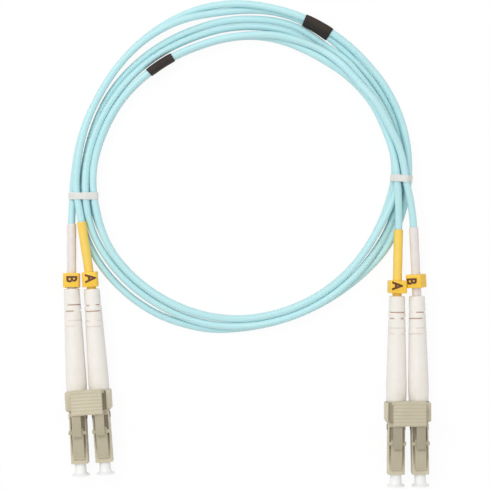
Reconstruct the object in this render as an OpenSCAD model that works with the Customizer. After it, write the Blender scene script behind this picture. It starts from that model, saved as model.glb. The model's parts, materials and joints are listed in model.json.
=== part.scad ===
// Duplex fibre patch cord, wound into a tied coil, with a clipped pair of plugs on each end.
// Millimetres. X runs across the coil, Y from the plugs to the coil, Z up from the table.

/* [Cord] */
// Diameter of one jacketed cord
cord_d = 1.9; // [1.8:0.05:2]
// Outside diameter of the identity sleeves shrunk on the cords
sleeve_d = 2.44; // [2.3:0.02:2.5]
// Wall of the black bands that hold the two cords together
band_wall = 0.2; // [0.15:0.01:0.25]
// Length of the band on the outer turn
outer_band_l = 7.7; // [5:0.1:9]
// Length of the band on the inner turn
inner_band_l = 7.5; // [5:0.1:9]
// Width of each white tie along the cords
tie_w = 1.85; // [1.2:0.05:2.4]
// Thickness of each white tie
tie_t = 0.3; // [0.2:0.05:0.35]

/* [Plugs] */
// Height of the ferrule's axis above the table
axis_z = 3.4; // [3.3:0.05:3.8]
// Width and height of a plug's square body
body_w = 4.5; // [4.4:0.02:4.56]
// Length of a plug's body
body_l = 16.9; // [16.5:0.1:16.9]
// Diameter of the ferrule
ferrule_d = 1.25; // [1.2:0.01:1.3]
// How far the ferrule reaches out of the body's front face
ferrule_out = 0.8; // [0.5:0.1:1.2]
// Distance between the two plugs' axes, near their front
pitch = 6.25; // [6.2:0.01:6.4]
// Angle by which each plug splays out of the pair's direction
splay = 0.72; // [0.3:0.02:0.8]
// Length of a strain relief boot
boot_l = 27.7; // [25:0.1:29]
// Widest diameter of a boot
boot_d = 5.4; // [5.2:0.05:5.5]
// Diameter of a boot at the cord's end
boot_end_d = 4.1; // [3.9:0.05:4.3]

/* [Clips] */
// Width of the clip that joins two plugs
clip_w = 12; // [11.8:0.05:12.6]
// Length of the clip along the plugs
clip_l = 5.1; // [5:0.1:5.8]
// Height of the clip's top face above the table
clip_top = 6.5; // [6.2:0.05:6.6]
// Width of the release trigger's thumb pad
pad_w = 8.5; // [8:0.1:9.4]
// Width of each arm of the release trigger
arm_w = 2.4; // [2:0.05:2.6]

/* [Places] */
// X of the left pair's front, midway between its plugs
left_x = -40.7; // [-42:0.1:-39]
// Y of the left pair's front
left_y = -19.5; // [-21:0.1:-18]
// Turn of the left pair about Z, in degrees
left_turn = 3.6; // [3:0.1:4]
// X of the right pair's front, midway between its plugs
right_x = 41.75; // [40.5:0.05:42.5]
// Y of the right pair's front
right_y = -22.5; // [-24:0.1:-21]
// Turn of the right pair about Z, in degrees
right_turn = 0.3; // [0:0.1:0.6]

/* [Hidden] */
$fn = 48;
cord_r = cord_d / 2;
sleeve_r = sleeve_d / 2;
play = 0.05;

// Plug: stations along its axis, counted from the body's front face
cavity_r = 1.65;
cavity_l = 4.4;
web_l = 0.6;
web_hole_r = 0.75;
chamber_r = 1.4;
chamber_y = cavity_l + web_l;
crimp_y = 12.6;
rear_bore_r = 1.8;
holder_r = 1.3;
holder_l = 3.1;
holder_tail_r = 0.8;
holder_tail_l = 2.8;
ferrule_seat = 2.4;
holder_bore_r = 0.5;
crimp_plug_r = rear_bore_r - play;
crimp_barrel_r = 1.5;
crimp_end_y = 24.5;
crimp_bore_r = 0.6;
fibre_r = 0.45;
fibre_y = 9.4;
cord_end_y = crimp_end_y;
crimp_sleeve_y = 19;
crimp_sleeve_r = 1.85;
spring_r = 1.05;
spring_wire_r = 0.14;
spring_turns = 5;
spring_gap = 0.2;
boot_neck_r = 2.25;
boot_neck_l = 1.2;
boot_waist_l = 2.4;
boot_front_bore_r = 1.95;
boot_front_bore_l = 8;
boot_bore_r = 1;
boot_mouth_r = 1.6;
boot_mouth_l = 2;
slit_w = 0.35;
slit_depth = 0.6;
slit_span = 132;
// Distances of the flex slits from the boot's end at the cord
slit_rows = [4.2, 5.8, 8.3, 9.8];
cap_neck_r = 1.5;
cap_flange_r = 2.35;
cap_flange_t = 0.5;
cap_out = 3.3;
cap_in = 3.8;
cap_bore_r = 0.7;
cap_flare = 0.5;
body_chamfer = 0.35;
bump_l = 1.5;
bump_t = 0.18;
bump_y = 11.8;

// Latch: a springing tongue on top of the body, hinged at its front end
latch_y = 1.5;
latch_z = 5.9;
latch_root_r = 0.4;
latch_w = 2.95;
latch_t = 0.45;
latch_under = 0.2;
latch_l = 8.1;
latch_slope = 14;
lug_y = 6.6;
lug_l = 0.9;
lug_w = 4.7;
lug_t = 0.9;

// Clip and trigger
clip_y = 13.8;
clip_pivot_y = 5;
clip_bore_w = body_w + 0.3;
clip_bore_h = body_w + 0.2;
boot_pocket_r = 2.8;
boot_pocket_l = 2.35;
post_w = 8.6;
post_t = 1.1;
trigger_y = 18.7;
trigger_z = 7.6;
trigger_r = 0.45;
pad_y = 12.9;
pad_z = 8.1;
pad_t = 1.2;
rib_n = 7;
rib_w = 0.4;
rib_h = 0.25;
arm_tip_y = 6.9;
arm_t = 1;
arm_x = 3;

// Markers: rings on the sleeves
marker_play = 0.08;
sleeve_bore_r = cord_r + play;
sleeve_in = 1.2;

// Plugs: name, pair (0 left, 1 right), side in the pair, how deep the boot sits in the clip,
// marker diameter, marker length, marker's gap to the boot, sleeve colour
PLUGS = [
    ["left_b", 0, -1, 0.9, 4.4, 3.7, 0.3, "white"],
    ["left_a", 0, 1, 1.3, 4.3, 3.9, 0.3, "gold"],
    ["right_a", 1, -1, 0.1, 4.7, 3.3, 0.8, "gold"],
    ["right_b", 1, 1, 0.1, 5, 3.5, 2.2, "white"]
];
PAIRS = [[left_x, left_y, left_turn], [right_x, right_y, right_turn]];

// Where each sleeve ends on its cord
SLEEVE_TOPS = [
    [-46.3, 42.9, 2.1],
    [-43.6, 43.4, 3.5],
    [39.3, 41.4, 3.55],
    [43.2, 42, 3.9]
];
// Cord route points between the coil and the top of each sleeve, from the coil down
LEAD_ROUTES = [
    [[-45.9, 53, 1.25], [-46, 50.2, 1.3], [-46.2, 46.5, 1.6]],
    [[-45, 53, 3.1], [-44.7, 50.2, 3.15], [-44.2, 46.8, 3.35]],
    [[38.95, 54, 4.6], [39.2, 50.5, 4.35], [39.3, 46, 3.9]],
    [[41.2, 54, 4.95], [42, 50.5, 4.7], [42.8, 46, 4.3]]
];

// Coil: rows of angle from the top (clockwise), radius of the pair's middle, height of the
// pair's underside, roll of cord B about cord A, and the distance between the two cords
coil_x = -2.2;
coil_y = 57.6;
coil_from = -90;
coil_to = 810;
ring_step = 15;
coil_sides = 6;
lead_sides = 8;
near = 1.97;
COIL = [
    [-100, 43.85, 0.35, -60, 2.05],
    [-90, 42.85, 0.3, -72, 2],
    [-75, 42, 0, -82, near],
    [-60, 41.45, 0, -85, near],
    [-38, 41.85, 0, -80, near],
    [-22, 42.15, 0, -54, near],
    [-8, 42.15, 0, 0, near],
    [8, 42.25, 0, 60, near],
    [20, 42.3, 0.3, 70, near],
    [35, 42.1, 0.2, 48, near],
    [50, 42.2, 0, 14, near],
    [62, 42.8, 0, 26, near],
    [75, 43.25, 0, 31, near],
    [92, 43.6, 0.35, 53, near],
    [104, 43.3, 0, 20, near],
    [116, 42.95, 0, 0, near],
    [128, 42.2, 0, -45, near],
    [138, 41.65, 0, -68, near],
    [150, 41.35, 0, -84, near],
    [165, 41.33, 0, -86, near],
    [178, 41.7, 0, -76, near],
    [190, 42.35, 0, -52, 2],
    [200, 42.65, 0, -35, 2.15],
    [212, 42.95, 0, -30, 2.75],
    [235, 43.3, 0, -28, 2.75],
    [246, 43.15, 0.1, -26, 2.4],
    [253, 42.5, 0.2, -42, 2.4],
    [260, 41.5, 0.35, -62, 2.44],
    [270, 40.45, 0.3, -72, 2.05],
    [285, 39.25, 0, -62, near],
    [300, 38.4, 0, -42, near],
    [322, 37.45, 0, -30, near],
    [340, 37.25, 0, -12, 2],
    [352, 37.7, 0, 0, near],
    [365, 38.25, 0, 0, near],
    [382, 38.85, 0, 0, near],
    [395, 38.15, 0, 0, near],
    [405, 38.75, 0, 40, near],
    [415, 39.3, 0, 77, near],
    [435, 40.45, 0, 63, near],
    [452, 41.25, 0.35, 54, near],
    [464, 40.35, 0, 70, near],
    [476, 39.6, 0, 88, near],
    [498, 39.35, 0, 88, near],
    [525, 39.34, 0, 90, near],
    [538, 39.6, 0, 90, near],
    [572, 39.8, 0, 90, near],
    [595, 40.1, 0, 90, near],
    [606, 39.75, 0.1, 98, 2],
    [613, 39.5, 0.2, 110, 2.05],
    [620, 39.4, 0.35, 121, 2.1],
    [630, 38.35, 0.3, 97, near],
    [645, 36.9, 0, 90, near],
    [660, 35.7, 0, 90, near],
    [676, 34.45, 0.3, 90, near],
    [688, 33.9, 0.3, 90, near],
    [700, 33.7, 0, 90, near],
    [712, 34.05, 0, 90, near],
    [725, 34.8, 0, 85, near],
    [735, 35.45, 0.2, 65, near],
    [745, 35.9, 0.8, 45, near],
    [755, 36.5, 1.8, 10, near],
    [765, 37.15, 1.9, 45, 2],
    [775, 37.85, 2, 73, 2.05],
    [785, 38.95, 2.75, 66, 2.1],
    [795, 39.85, 2.75, 57, 2.2],
    [803, 41, 3.2, 33, 2.15],
    [812, 42, 3.8, 9, 2.1]
];
BAND_ANGLES = [28.8, 682.5];
TIE_TURNS = [[50.2, 259.8, 619.3, 0], [54.7, 94, 454, -5]];

LAST = len(COIL) - 1;

// Slope of one column at a row, from the rows on either side of it
function slope(i, c) =
    let(a = max(i - 1, 0), b = min(i + 1, LAST))
    (COIL[b][c] - COIL[a][c]) / (COIL[b][0] - COIL[a][0]);

// The row that an angle falls after
function row_before(t) = max([for (i = [0:LAST - 1]) COIL[i][0] <= t ? i : 0]);

// One column at any angle, on a smooth cubic through the rows
function column(t, c) =
    let(i = row_before(t), h = COIL[i + 1][0] - COIL[i][0], u = (t - COIL[i][0]) / h)
    (2 * u^3 - 3 * u^2 + 1) * COIL[i][c] + (u^3 - 2 * u^2 + u) * h * slope(i, c)
    + (3 * u^2 - 2 * u^3) * COIL[i + 1][c] + (u^3 - u^2) * h * slope(i + 1, c);

// Point of a cord in the coil; side is -1 for cord A and 1 for cord B
function coil_point(t, side) =
    let(roll = column(t, 3), half = column(t, 4) / 2)
    let(r = column(t, 1) + side * half * cos(roll))
    let(z = column(t, 2) + cord_r + half * abs(sin(roll)) + side * half * sin(roll))
    [coil_x + r * sin(t), coil_y + r * cos(t), z];

function unit(v) = v / norm(v);

// Direction of a cord in the coil, the way it is wound
function coil_way(t, side) = unit(coil_point(t + 0.5, side) - coil_point(t - 0.5, side));

// The coil's ends run straight for one cord diameter
function coil_start(side) = coil_point(coil_from, side) - cord_d * coil_way(coil_from, side);
function coil_end(side) = coil_point(coil_to, side) + cord_d * coil_way(coil_to, side);
function coil_path(side) = concat(
    [coil_start(side)],
    [for (t = [coil_from:ring_step:coil_to]) coil_point(t, side)],
    [coil_end(side)]
);

// Least distance between two points of a path that are over a third of a loop apart
function least_gap(p) = min([
    for (i = [0:len(p) - 1])
        for (j = [i + 8:1:len(p) - 1])
            norm(p[i] - p[j])
]) - cord_d;

function path_length(p) =
    let(parts = [for (i = [0:len(p) - 2]) norm(p[i + 1] - p[i])])
    parts * [for (x = parts) 1];

// Direction of a path at each of its points
function way(p, i) = unit(p[min(i + 1, len(p) - 1)] - p[max(i - 1, 0)]);

// One ring of a tube, square to the path
function ring(centre, along, up, r, sides) =
    let(across = unit(cross(along, up)), top = cross(across, along))
    [for (k = [0:sides - 1]) centre + r * (cos(k * 360 / sides) * across + sin(k * 360 / sides) * top)];

// A tube along a path as one polyhedron; first and last set the directions of its ends
module tube(path, r, sides, first, last, up = [0, 0, 1]) {
    n = len(path);
    rings = [
        for (i = [0:n - 1])
            ring(path[i], i == 0 ? first : i == n - 1 ? last : way(path, i), up, r, sides)
    ];
    points = [for (q = rings) for (p = q) p];
    walls = [
        for (i = [0:n - 2])
            for (k = [0:sides - 1])
                let(a = i * sides + k, b = i * sides + (k + 1) % sides)
                each [[a, b, a + sides], [b, b + sides, a + sides]]
    ];
    caps = [
        for (k = [1:sides - 2])
            each [
                [0, k + 1, k],
                [(n - 1) * sides, (n - 1) * sides + k, (n - 1) * sides + k + 1]
            ]
    ];
    polyhedron(points, concat(walls, caps));
}

// A plug's place: its front face, its own direction and points along its axis
function plug_turn(q) = PAIRS[q[1]][2] + q[2] * splay;
function turned(v, a) = [v[0] * cos(a) - v[1] * sin(a), v[0] * sin(a) + v[1] * cos(a), v[2]];
function pair_point(k, v) = turned(v, PAIRS[k][2]) + [PAIRS[k][0], PAIRS[k][1], 0];
function plug_origin(q) =
    pair_point(q[1], [q[2] * (pitch / 2 + clip_pivot_y * tan(splay)), 0, 0]);
function plug_point(q, v) = turned(v, plug_turn(q)) + plug_origin(q);
function boot_y(q) = clip_y + clip_l - q[3];
function mouth_y(q) = boot_y(q) + boot_l;
function mouth(q) = plug_point(q, [0, mouth_y(q), axis_z]);
function sleeve_way(i) = unit(SLEEVE_TOPS[i] - mouth(PLUGS[i]));

module at_plug(q) {
    translate(plug_origin(q)) rotate([0, 0, plug_turn(q)]) children();
}

module at_pair(k) {
    translate([PAIRS[k][0], PAIRS[k][1], 0]) rotate([0, 0, PAIRS[k][2]]) children();
}

// Children drawn along +Z are laid along the plug's axis, from a station on it
module on_axis(y) {
    translate([0, y, axis_z]) rotate([-90, 0, 0]) children();
}

module bore(y, l, r) {
    on_axis(y) cylinder(h = l, r = r);
}

module box(x, y, z, w, l, h) {
    translate([x - w / 2, y, z]) cube([w, l, h]);
}

// A square bar with chamfered long edges, along the plug's axis
module square_bar(w, h, l, c) {
    a = w / 2;
    b = h / 2;
    rotate([90, 0, 180])
        linear_extrude(height = l)
            polygon([
                [-a + c, -b], [a - c, -b], [a, -b + c], [a, b - c],
                [a - c, b], [-a + c, b], [-a, b - c], [-a, -b + c]
            ]);
}

// Plug body: square tube with a front cavity, a web, a spring chamber and a rear bore
module housing() {
    color("#c9c1a4") difference() {
        union() {
            translate([0, 0, axis_z]) square_bar(body_w, body_w, body_l, body_chamfer);
            for (s = [-1, 1])
                box(s * body_w / 2, bump_y, axis_z - 0.9, 2 * bump_t, bump_l, 1.8);
        }
        bore(-1, cavity_l + 1, cavity_r);
        bore(0, body_l, web_hole_r);
        bore(chamber_y, crimp_y - chamber_y, chamber_r);
        bore(crimp_y, body_l, rear_bore_r);
        translate([-latch_w / 2 - play, latch_y, latch_z])
            rotate([0, 90, 0])
                cylinder(h = latch_w + 2 * play, r = latch_root_r + play);
    }
}

// Latch tongue: root, sloping blade and two side lugs
module latch() {
    color("#b8af96") translate([0, latch_y, latch_z]) {
        translate([-latch_w / 2, 0, 0])
            rotate([0, 90, 0])
                cylinder(h = latch_w, r = latch_root_r);
        rotate([latch_slope, 0, 0]) {
            box(0, 0, -latch_under, latch_w, latch_l, latch_t);
            box(0, lug_y, -lug_t / 2, lug_w, lug_l, lug_t);
        }
    }
}

module ferrule() {
    color("#f4f4ee")
        bore(-ferrule_out, ferrule_out + chamber_y + ferrule_seat, ferrule_d / 2);
}

// Ferrule holder: collar with the ferrule's seat, and a tail that guides the spring
module ferrule_holder() {
    front = chamber_y + play;
    color("#b0b0ac") difference() {
        union() {
            bore(front, holder_l, holder_r);
            bore(front, holder_l + holder_tail_l, holder_tail_r);
        }
        bore(0, chamber_y + ferrule_seat, ferrule_d / 2);
        bore(front, holder_l + holder_tail_l + 1, holder_bore_r);
    }
}

// Ferrule spring, between the holder's collar and the crimp body
module spring() {
    from = chamber_y + play + holder_l + spring_gap;
    to = crimp_y - spring_gap;
    steps = spring_turns * 8;
    path = [
        for (i = [0:steps])
            let(a = i * 45)
            [spring_r * cos(a), from + (to - from) * i / steps, axis_z + spring_r * sin(a)]
    ];
    color("#a8a8a8") tube(path, spring_wire_r, 6, way(path, 0), way(path, steps), [0, 1, 0]);
}

// Crimp body: plug in the housing's rear and barrel for the crimp sleeve
module crimp_body() {
    front = crimp_y + play;
    color("#c0c0bc") difference() {
        union() {
            bore(front, body_l - front, crimp_plug_r);
            bore(front, crimp_end_y - front, crimp_barrel_r);
        }
        bore(0, crimp_end_y + 1, crimp_bore_r);
    }
}

module crimp_sleeve() {
    color("#cfcfca") difference() {
        bore(crimp_sleeve_y, crimp_end_y - crimp_sleeve_y, crimp_sleeve_r);
        bore(crimp_sleeve_y - 1, crimp_end_y, crimp_barrel_r + play);
    }
}

// Buffered fibre inside a plug, from the ferrule holder to the cord's end
module fibre() {
    color("#e8f0e0") bore(fibre_y, cord_end_y - fibre_y, fibre_r);
}

// One row of flex slits: two arcs cut into the boot's wall
module slit_row(y, r, turn) {
    on_axis(y)
        for (a = [turn, turn + 180])
            rotate([0, 0, a - slit_span / 2])
                rotate_extrude(angle = slit_span)
                    translate([r - slit_depth, 0])
                        square([slit_depth + 1, slit_w]);
}

function boot_r(y) =
    boot_d / 2 + (boot_end_d - boot_d) / 2 * (y - boot_neck_l - boot_waist_l)
    / (boot_l - boot_neck_l - boot_waist_l);

// Strain relief boot: neck in the clip, swelling waist, long taper, slits near the cord
module boot() {
    color("#efe8e2") difference() {
        on_axis(0) rotate_extrude() polygon([
            [0, 0], [boot_neck_r, 0], [boot_neck_r + 0.2, boot_neck_l * 0.5],
            [boot_d / 2 - 0.12, boot_neck_l], [boot_d / 2, boot_neck_l + boot_waist_l],
            [boot_end_d / 2, boot_l - 0.2], [boot_end_d / 2 - 0.2, boot_l], [0, boot_l]
        ]);
        bore(-1, boot_l + 2, boot_bore_r);
        bore(-1, boot_front_bore_l + 1, boot_front_bore_r);
        bore(boot_l - boot_mouth_l, boot_mouth_l + 1, boot_mouth_r);
        for (i = [0:len(slit_rows) - 1])
            let(y = boot_l - slit_rows[i])
            slit_row(y - slit_w / 2, boot_r(y), 90 * (i % 2));
    }
}

// Dust cap: neck over the ferrule and a round flange to pull it by
module dust_cap() {
    color("#f6f6f6") difference() {
        on_axis(-cap_out) rotate_extrude() polygon([
            [0, 0], [cap_flange_r, 0], [cap_flange_r, cap_flange_t],
            [cap_neck_r, cap_flange_t + cap_flare], [cap_neck_r, cap_out + cap_in],
            [0, cap_out + cap_in]
        ]);
        bore(-ferrule_out - 0.7, cap_in + 10, cap_bore_r);
    }
}

// Identity sleeve on the cord, from inside the boot's mouth to its own top
module sleeve(i) {
    q = PLUGS[i];
    l = norm(SLEEVE_TOPS[i] - mouth(q));
    color(q[7]) along_sleeve(i) difference() {
        translate([0, 0, -sleeve_in])
            cylinder(h = l + sleeve_in, r = sleeve_r);
        translate([0, 0, -sleeve_in - 1])
            cylinder(h = l + sleeve_in + 2, r = sleeve_bore_r);
    }
}

// Children drawn along +Z are laid along a sleeve, from the boot's mouth
module along_sleeve(i) {
    w = sleeve_way(i);
    translate(mouth(PLUGS[i]))
        rotate([0, 0, atan2(w[1], w[0])])
            rotate([0, 90 - asin(w[2]), 0])
                children();
}

// Marker ring that carries the polarity letter
module marker(i) {
    q = PLUGS[i];
    color("#f6c23c") along_sleeve(i) translate([0, 0, q[6]]) difference() {
        union() {
            cylinder(h = q[5], r = q[4] / 2 - 0.12);
            translate([0, 0, 0.12]) cylinder(h = q[5] - 0.24, r = q[4] / 2);
        }
        translate([0, 0, -1]) cylinder(h = q[5] + 2, r = sleeve_r + marker_play);
    }
}

// Cord from the coil through its sleeve and the boot to the crimp
function lead_path(i) =
    let(q = PLUGS[i], side = i == 0 || i == 3 ? 1 : -1, w = sleeve_way(i))
    let(m = mouth(q), top = SLEEVE_TOPS[i], from = i < 2 ? coil_start(side) : coil_end(side))
    let(l = norm(top - m))
    concat(
        [from], LEAD_ROUTES[i], [top],
        [for (s = [0.75:-0.25:0.25]) m + s * l * w],
        [m + 0.3 * w, plug_point(q, [0, mouth_y(q) - 1.6, axis_z])],
        [for (y = [mouth_y(q) - 5:-5:cord_end_y + 3]) plug_point(q, [0, y, axis_z])],
        [plug_point(q, [0, cord_end_y, axis_z])]
    );

module lead(i) {
    q = PLUGS[i];
    side = i == 0 || i == 3 ? 1 : -1;
    path = lead_path(i);
    first = i < 2 ? -coil_way(coil_from, side) : coil_way(coil_to, side);
    last = turned([0, -1, 0], plug_turn(q));
    color("#aee5e6") tube(path, cord_r, lead_sides, first, last);
}

module coil(side) {
    path = coil_path(side);
    color("#aee5e6")
        tube(path, cord_r, coil_sides, coil_way(coil_from, side), coil_way(coil_to, side));
}

// Black band round both cords of the pair, square to them
module band(k, l) {
    t = BAND_ANGLES[k];
    a = coil_point(t, -1);
    b = coil_point(t, 1);
    color("#2c2724") translate(a) rotate([0, 0, -t]) difference() {
        band_block(a, b, l, cord_r + band_wall);
        band_block(a, b, l + 1, cord_r + play);
    }
}

module band_block(a, b, l, r) {
    rise = b[2] - a[2];
    out = norm([b[0] - a[0], b[1] - a[1]]);
    rotate([0, -90, 0])
        linear_extrude(height = l, center = true)
            hull() {
                circle(r = r, $fn = 32);
                translate([rise, out]) circle(r = r, $fn = 32);
            }
}

// White tie round the six cords of the bundle
module tie(k) {
    row = TIE_TURNS[k];
    lead_b = k == 0 ? LEAD_ROUTES[0][1] : coil_end(1);
    lead_a = k == 0 ? LEAD_ROUTES[1][1] : coil_end(-1);
    held = concat(
        [for (t = [row[1], row[2]]) for (s = [-1, 1]) coil_point(t, s)],
        [lead_a, lead_b]
    );
    mid = coil_point(row[1], -1);
    color("#f1eae6") translate([mid[0], row[0], 0]) rotate([90, 0, row[3]]) difference() {
        tie_block(held, mid, tie_w, cord_r + tie_t);
        tie_block(held, mid, tie_w + 1, cord_r + 0.02);
    }
}

module tie_block(held, mid, l, r) {
    linear_extrude(height = l, center = true)
        hull()
            for (p = held)
                translate([p[0] - mid[0], p[2]])
                    circle(r = r, $fn = 32);
}

// Duplex clip: a block with a bore for each plug, boot pockets and a hinge post
module clip(k) {
    color("#c9c1a4") difference() {
        union() {
            clip_block();
            box(0, trigger_y - post_t / 2, clip_top - 0.5, post_w, post_t, trigger_z - clip_top + 0.4);
        }
        for (s = [-1, 1])
            translate([s * (pitch / 2 + clip_pivot_y * tan(splay)), 0, 0])
                rotate([0, 0, s * splay]) {
                    box(0, clip_y - 1, axis_z - clip_bore_h / 2, clip_bore_w, clip_l + 2, clip_bore_h);
                    on_axis(clip_y + clip_l - boot_pocket_l) cylinder(h = 5, r = boot_pocket_r);
                }
        translate([-post_w, trigger_y, trigger_z])
            rotate([0, 90, 0])
                cylinder(h = 2 * post_w, r = trigger_r + play);
    }
}

module clip_block() {
    c = 0.5;
    a = clip_w / 2;
    translate([0, clip_y, 0])
        rotate([90, 0, 180])
            linear_extrude(height = clip_l)
                polygon([
                    [-a + c, 0], [a - c, 0], [a, c], [a, clip_top - c],
                    [a - c, clip_top], [-a + c, clip_top], [-a, clip_top - c], [-a, c]
                ]);
}

// Trigger: hinge barrel, ribbed thumb pad and two arms that press the latches
module trigger() {
    pad_l = trigger_y + trigger_r - pad_y;
    top = pad_z + pad_t;
    color("#c9c1a4") union() {
        box(0, pad_y, pad_z, pad_w, pad_l, pad_t);
        box(0, trigger_y - trigger_r, trigger_z, pad_w, 2 * trigger_r, pad_z - trigger_z + 0.1);
        translate([-pad_w / 2, trigger_y, trigger_z])
            rotate([0, 90, 0])
                cylinder(h = pad_w, r = trigger_r);
        for (s = [-1, 1])
            box(s * arm_x, arm_tip_y, top - arm_t, arm_w, pad_y - arm_tip_y + 1, arm_t);
        for (i = [0:rib_n - 1])
            box(0, pad_y + (i + 0.3) * pad_l / rib_n, top - 0.1, pad_w - 0.8, rib_w, rib_h + 0.1);
    }
}

PIECES = [
    "housing", "latch", "ferrule", "ferrule_holder", "spring", "crimp_body", "crimp_sleeve",
    "boot", "dust_cap", "sleeve", "marker", "lead"
];
NODES = concat(
    [for (q = PLUGS) for (p = PIECES) str(q[0], "_", p)],
    ["left_clip", "right_clip", "left_trigger", "right_trigger", "fibres"],
    ["coil_a", "coil_b", "outer_band", "inner_band", "left_tie", "right_tie"]
);
node = "all";

function drawn(name) = node == "all" || node == name;

for (i = [0:3]) {
    q = PLUGS[i];
    if (drawn(str(q[0], "_housing"))) at_plug(q) housing();
    if (drawn(str(q[0], "_latch"))) at_plug(q) latch();
    if (drawn(str(q[0], "_ferrule"))) at_plug(q) ferrule();
    if (drawn(str(q[0], "_ferrule_holder"))) at_plug(q) ferrule_holder();
    if (drawn(str(q[0], "_spring"))) at_plug(q) spring();
    if (drawn(str(q[0], "_crimp_body"))) at_plug(q) crimp_body();
    if (drawn(str(q[0], "_crimp_sleeve"))) at_plug(q) crimp_sleeve();
    if (drawn(str(q[0], "_boot"))) at_plug(q) translate([0, boot_y(q), 0]) boot();
    if (drawn(str(q[0], "_dust_cap"))) at_plug(q) dust_cap();
    if (drawn(str(q[0], "_sleeve"))) sleeve(i);
    if (drawn(str(q[0], "_marker"))) marker(i);
    if (drawn(str(q[0], "_lead"))) lead(i);
    if (drawn("fibres")) at_plug(q) fibre();
}
if (drawn("left_clip")) at_pair(0) clip(0);
if (drawn("right_clip")) at_pair(1) clip(1);
if (drawn("left_trigger")) at_pair(0) trigger();
if (drawn("right_trigger")) at_pair(1) trigger();
if (drawn("coil_a")) coil(-1);
if (drawn("coil_b")) coil(1);
if (drawn("outer_band")) band(0, outer_band_l);
if (drawn("inner_band")) band(1, inner_band_l);
if (drawn("left_tie")) tie(0);
if (drawn("right_tie")) tie(1);

echo(gap_a = least_gap(coil_path(-1)), gap_b = least_gap(coil_path(1)));
echo(length_a = path_length(coil_path(-1)) + path_length(lead_path(1)) + path_length(lead_path(2)));
echo(length_b = path_length(coil_path(1)) + path_length(lead_path(0)) + path_length(lead_path(3)));
echo(mouths = [for (q = PLUGS) mouth(q)], sleeve_ways = [for (i = [0:3]) sleeve_way(i)]);
echo(origins = [for (q = PLUGS) plug_origin(q)], turns = [for (q = PLUGS) plug_turn(q)]);
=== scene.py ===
"""Duplex fibre patch cord: the finished surfaces of a tied coil with a clipped pair of plugs on each end."""

import json
from collections import namedtuple

import bmesh
import bpy
import numpy as np
from bpy.props import FloatProperty, FloatVectorProperty, PointerProperty
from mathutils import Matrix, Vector


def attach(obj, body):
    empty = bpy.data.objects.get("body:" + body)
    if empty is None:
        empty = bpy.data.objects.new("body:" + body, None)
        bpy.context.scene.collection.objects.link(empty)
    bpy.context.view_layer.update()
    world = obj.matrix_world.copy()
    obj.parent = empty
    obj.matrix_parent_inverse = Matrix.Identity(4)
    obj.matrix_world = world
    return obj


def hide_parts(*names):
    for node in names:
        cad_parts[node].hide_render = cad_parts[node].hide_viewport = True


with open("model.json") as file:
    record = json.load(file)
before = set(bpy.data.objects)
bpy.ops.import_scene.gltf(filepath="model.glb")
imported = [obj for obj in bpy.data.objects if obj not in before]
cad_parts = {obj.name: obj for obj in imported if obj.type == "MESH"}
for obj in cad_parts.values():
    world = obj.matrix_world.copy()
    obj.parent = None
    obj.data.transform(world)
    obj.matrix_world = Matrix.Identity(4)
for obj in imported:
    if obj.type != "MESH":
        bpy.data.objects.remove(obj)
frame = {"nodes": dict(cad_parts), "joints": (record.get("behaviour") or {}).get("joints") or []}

bl_info = {
    "name": "Duplex Patch Cord",
    "version": (1, 0, 0),
    "blender": (4, 5, 0),
    "location": "3D View > Sidebar > Patch Cord",
    "description": "Builds the cords, plugs and clips of a duplex fibre patch cord on its packed frame",
    "category": "Add Mesh",
}

MM = 0.001
UP = np.array([0.0, 0.0, 1.0])
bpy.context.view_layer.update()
JOINTS = {joint["name"]: joint for joint in frame["joints"]}

# Stations along a plug's axis, counted from its front face, and heights above the table, in
# millimetres
LATCH_Y = 1.5
LATCH_Z = 5.9
LATCH_SLOPE = 14.0  # degrees
LUG_Y = 6.6
CLIP_Y = 13.8
TRIGGER_Y = 18.7
TRIGGER_Z = 7.6
CRIMP_END_Y = 24.5

# Rows of flex slits in a boot: distance from its end at the cord and depth, in millimetres. Then a
# slit's width, the width of its edges, the angle that it spans, and the sides of a boot's outline
SLIT_ROWS = ((4.2, 0.4), (5.8, 0.4), (8.3, 0.12), (9.8, 0.12))
SLIT_W = 0.26
SLIT_EDGE = 0.02
SLIT_SPAN = 132
BOOT_COLUMNS = 96

# Other sizes of the latches, clips and triggers, in millimetres
LATCH_UNDER = 0.2  # how far the blade's underside lies below the latch's hinge
LUG = (4.7, 0.8, 0.9)  # width over both lugs, thickness, length
PLATE_L = 5.0  # raised plate on the blade
POCKET_R = 2.8  # pocket that a boot sits in
POCKET_L = 2.35
GROOVE_DEPTH = 0.35
POST_W = 8.6  # post under the trigger's hinge
POST_T = 1.1
HINGE_R = 0.45
PAD_Y = 12.9
PAD_Z = 8.1
PAD_T = 1.45
RIDGES = 7
RIDGE_H = 0.11
ARM_X = 3.0  # each arm's middle, off the pair's middle
ARM_Z = 8.4
ARM_T = 0.62
ARM_ROOT_Y = 14.1
ARM_SLOPE = 3.5  # degrees

# Studio: half the floor's side, and the soft lamp's size, its place and what it points at, in metres
FLOOR_HALF = 3.0
KEY_SIZE = 0.7
KEY_PLACE = (-0.35, 0.42, 0.85)
KEY_AIM = (0, 0.04, 0)

# Edges that turn by more than this, in degrees, stay sharp
SHARP = 35

# A plug: how deep its boot sits in the clip, the turn of the boot's slits in degrees, its sleeve's
# colour and its marker
Plug = namedtuple("Plug", "name pair boot_depth slit_turn sleeve marker")
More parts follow.
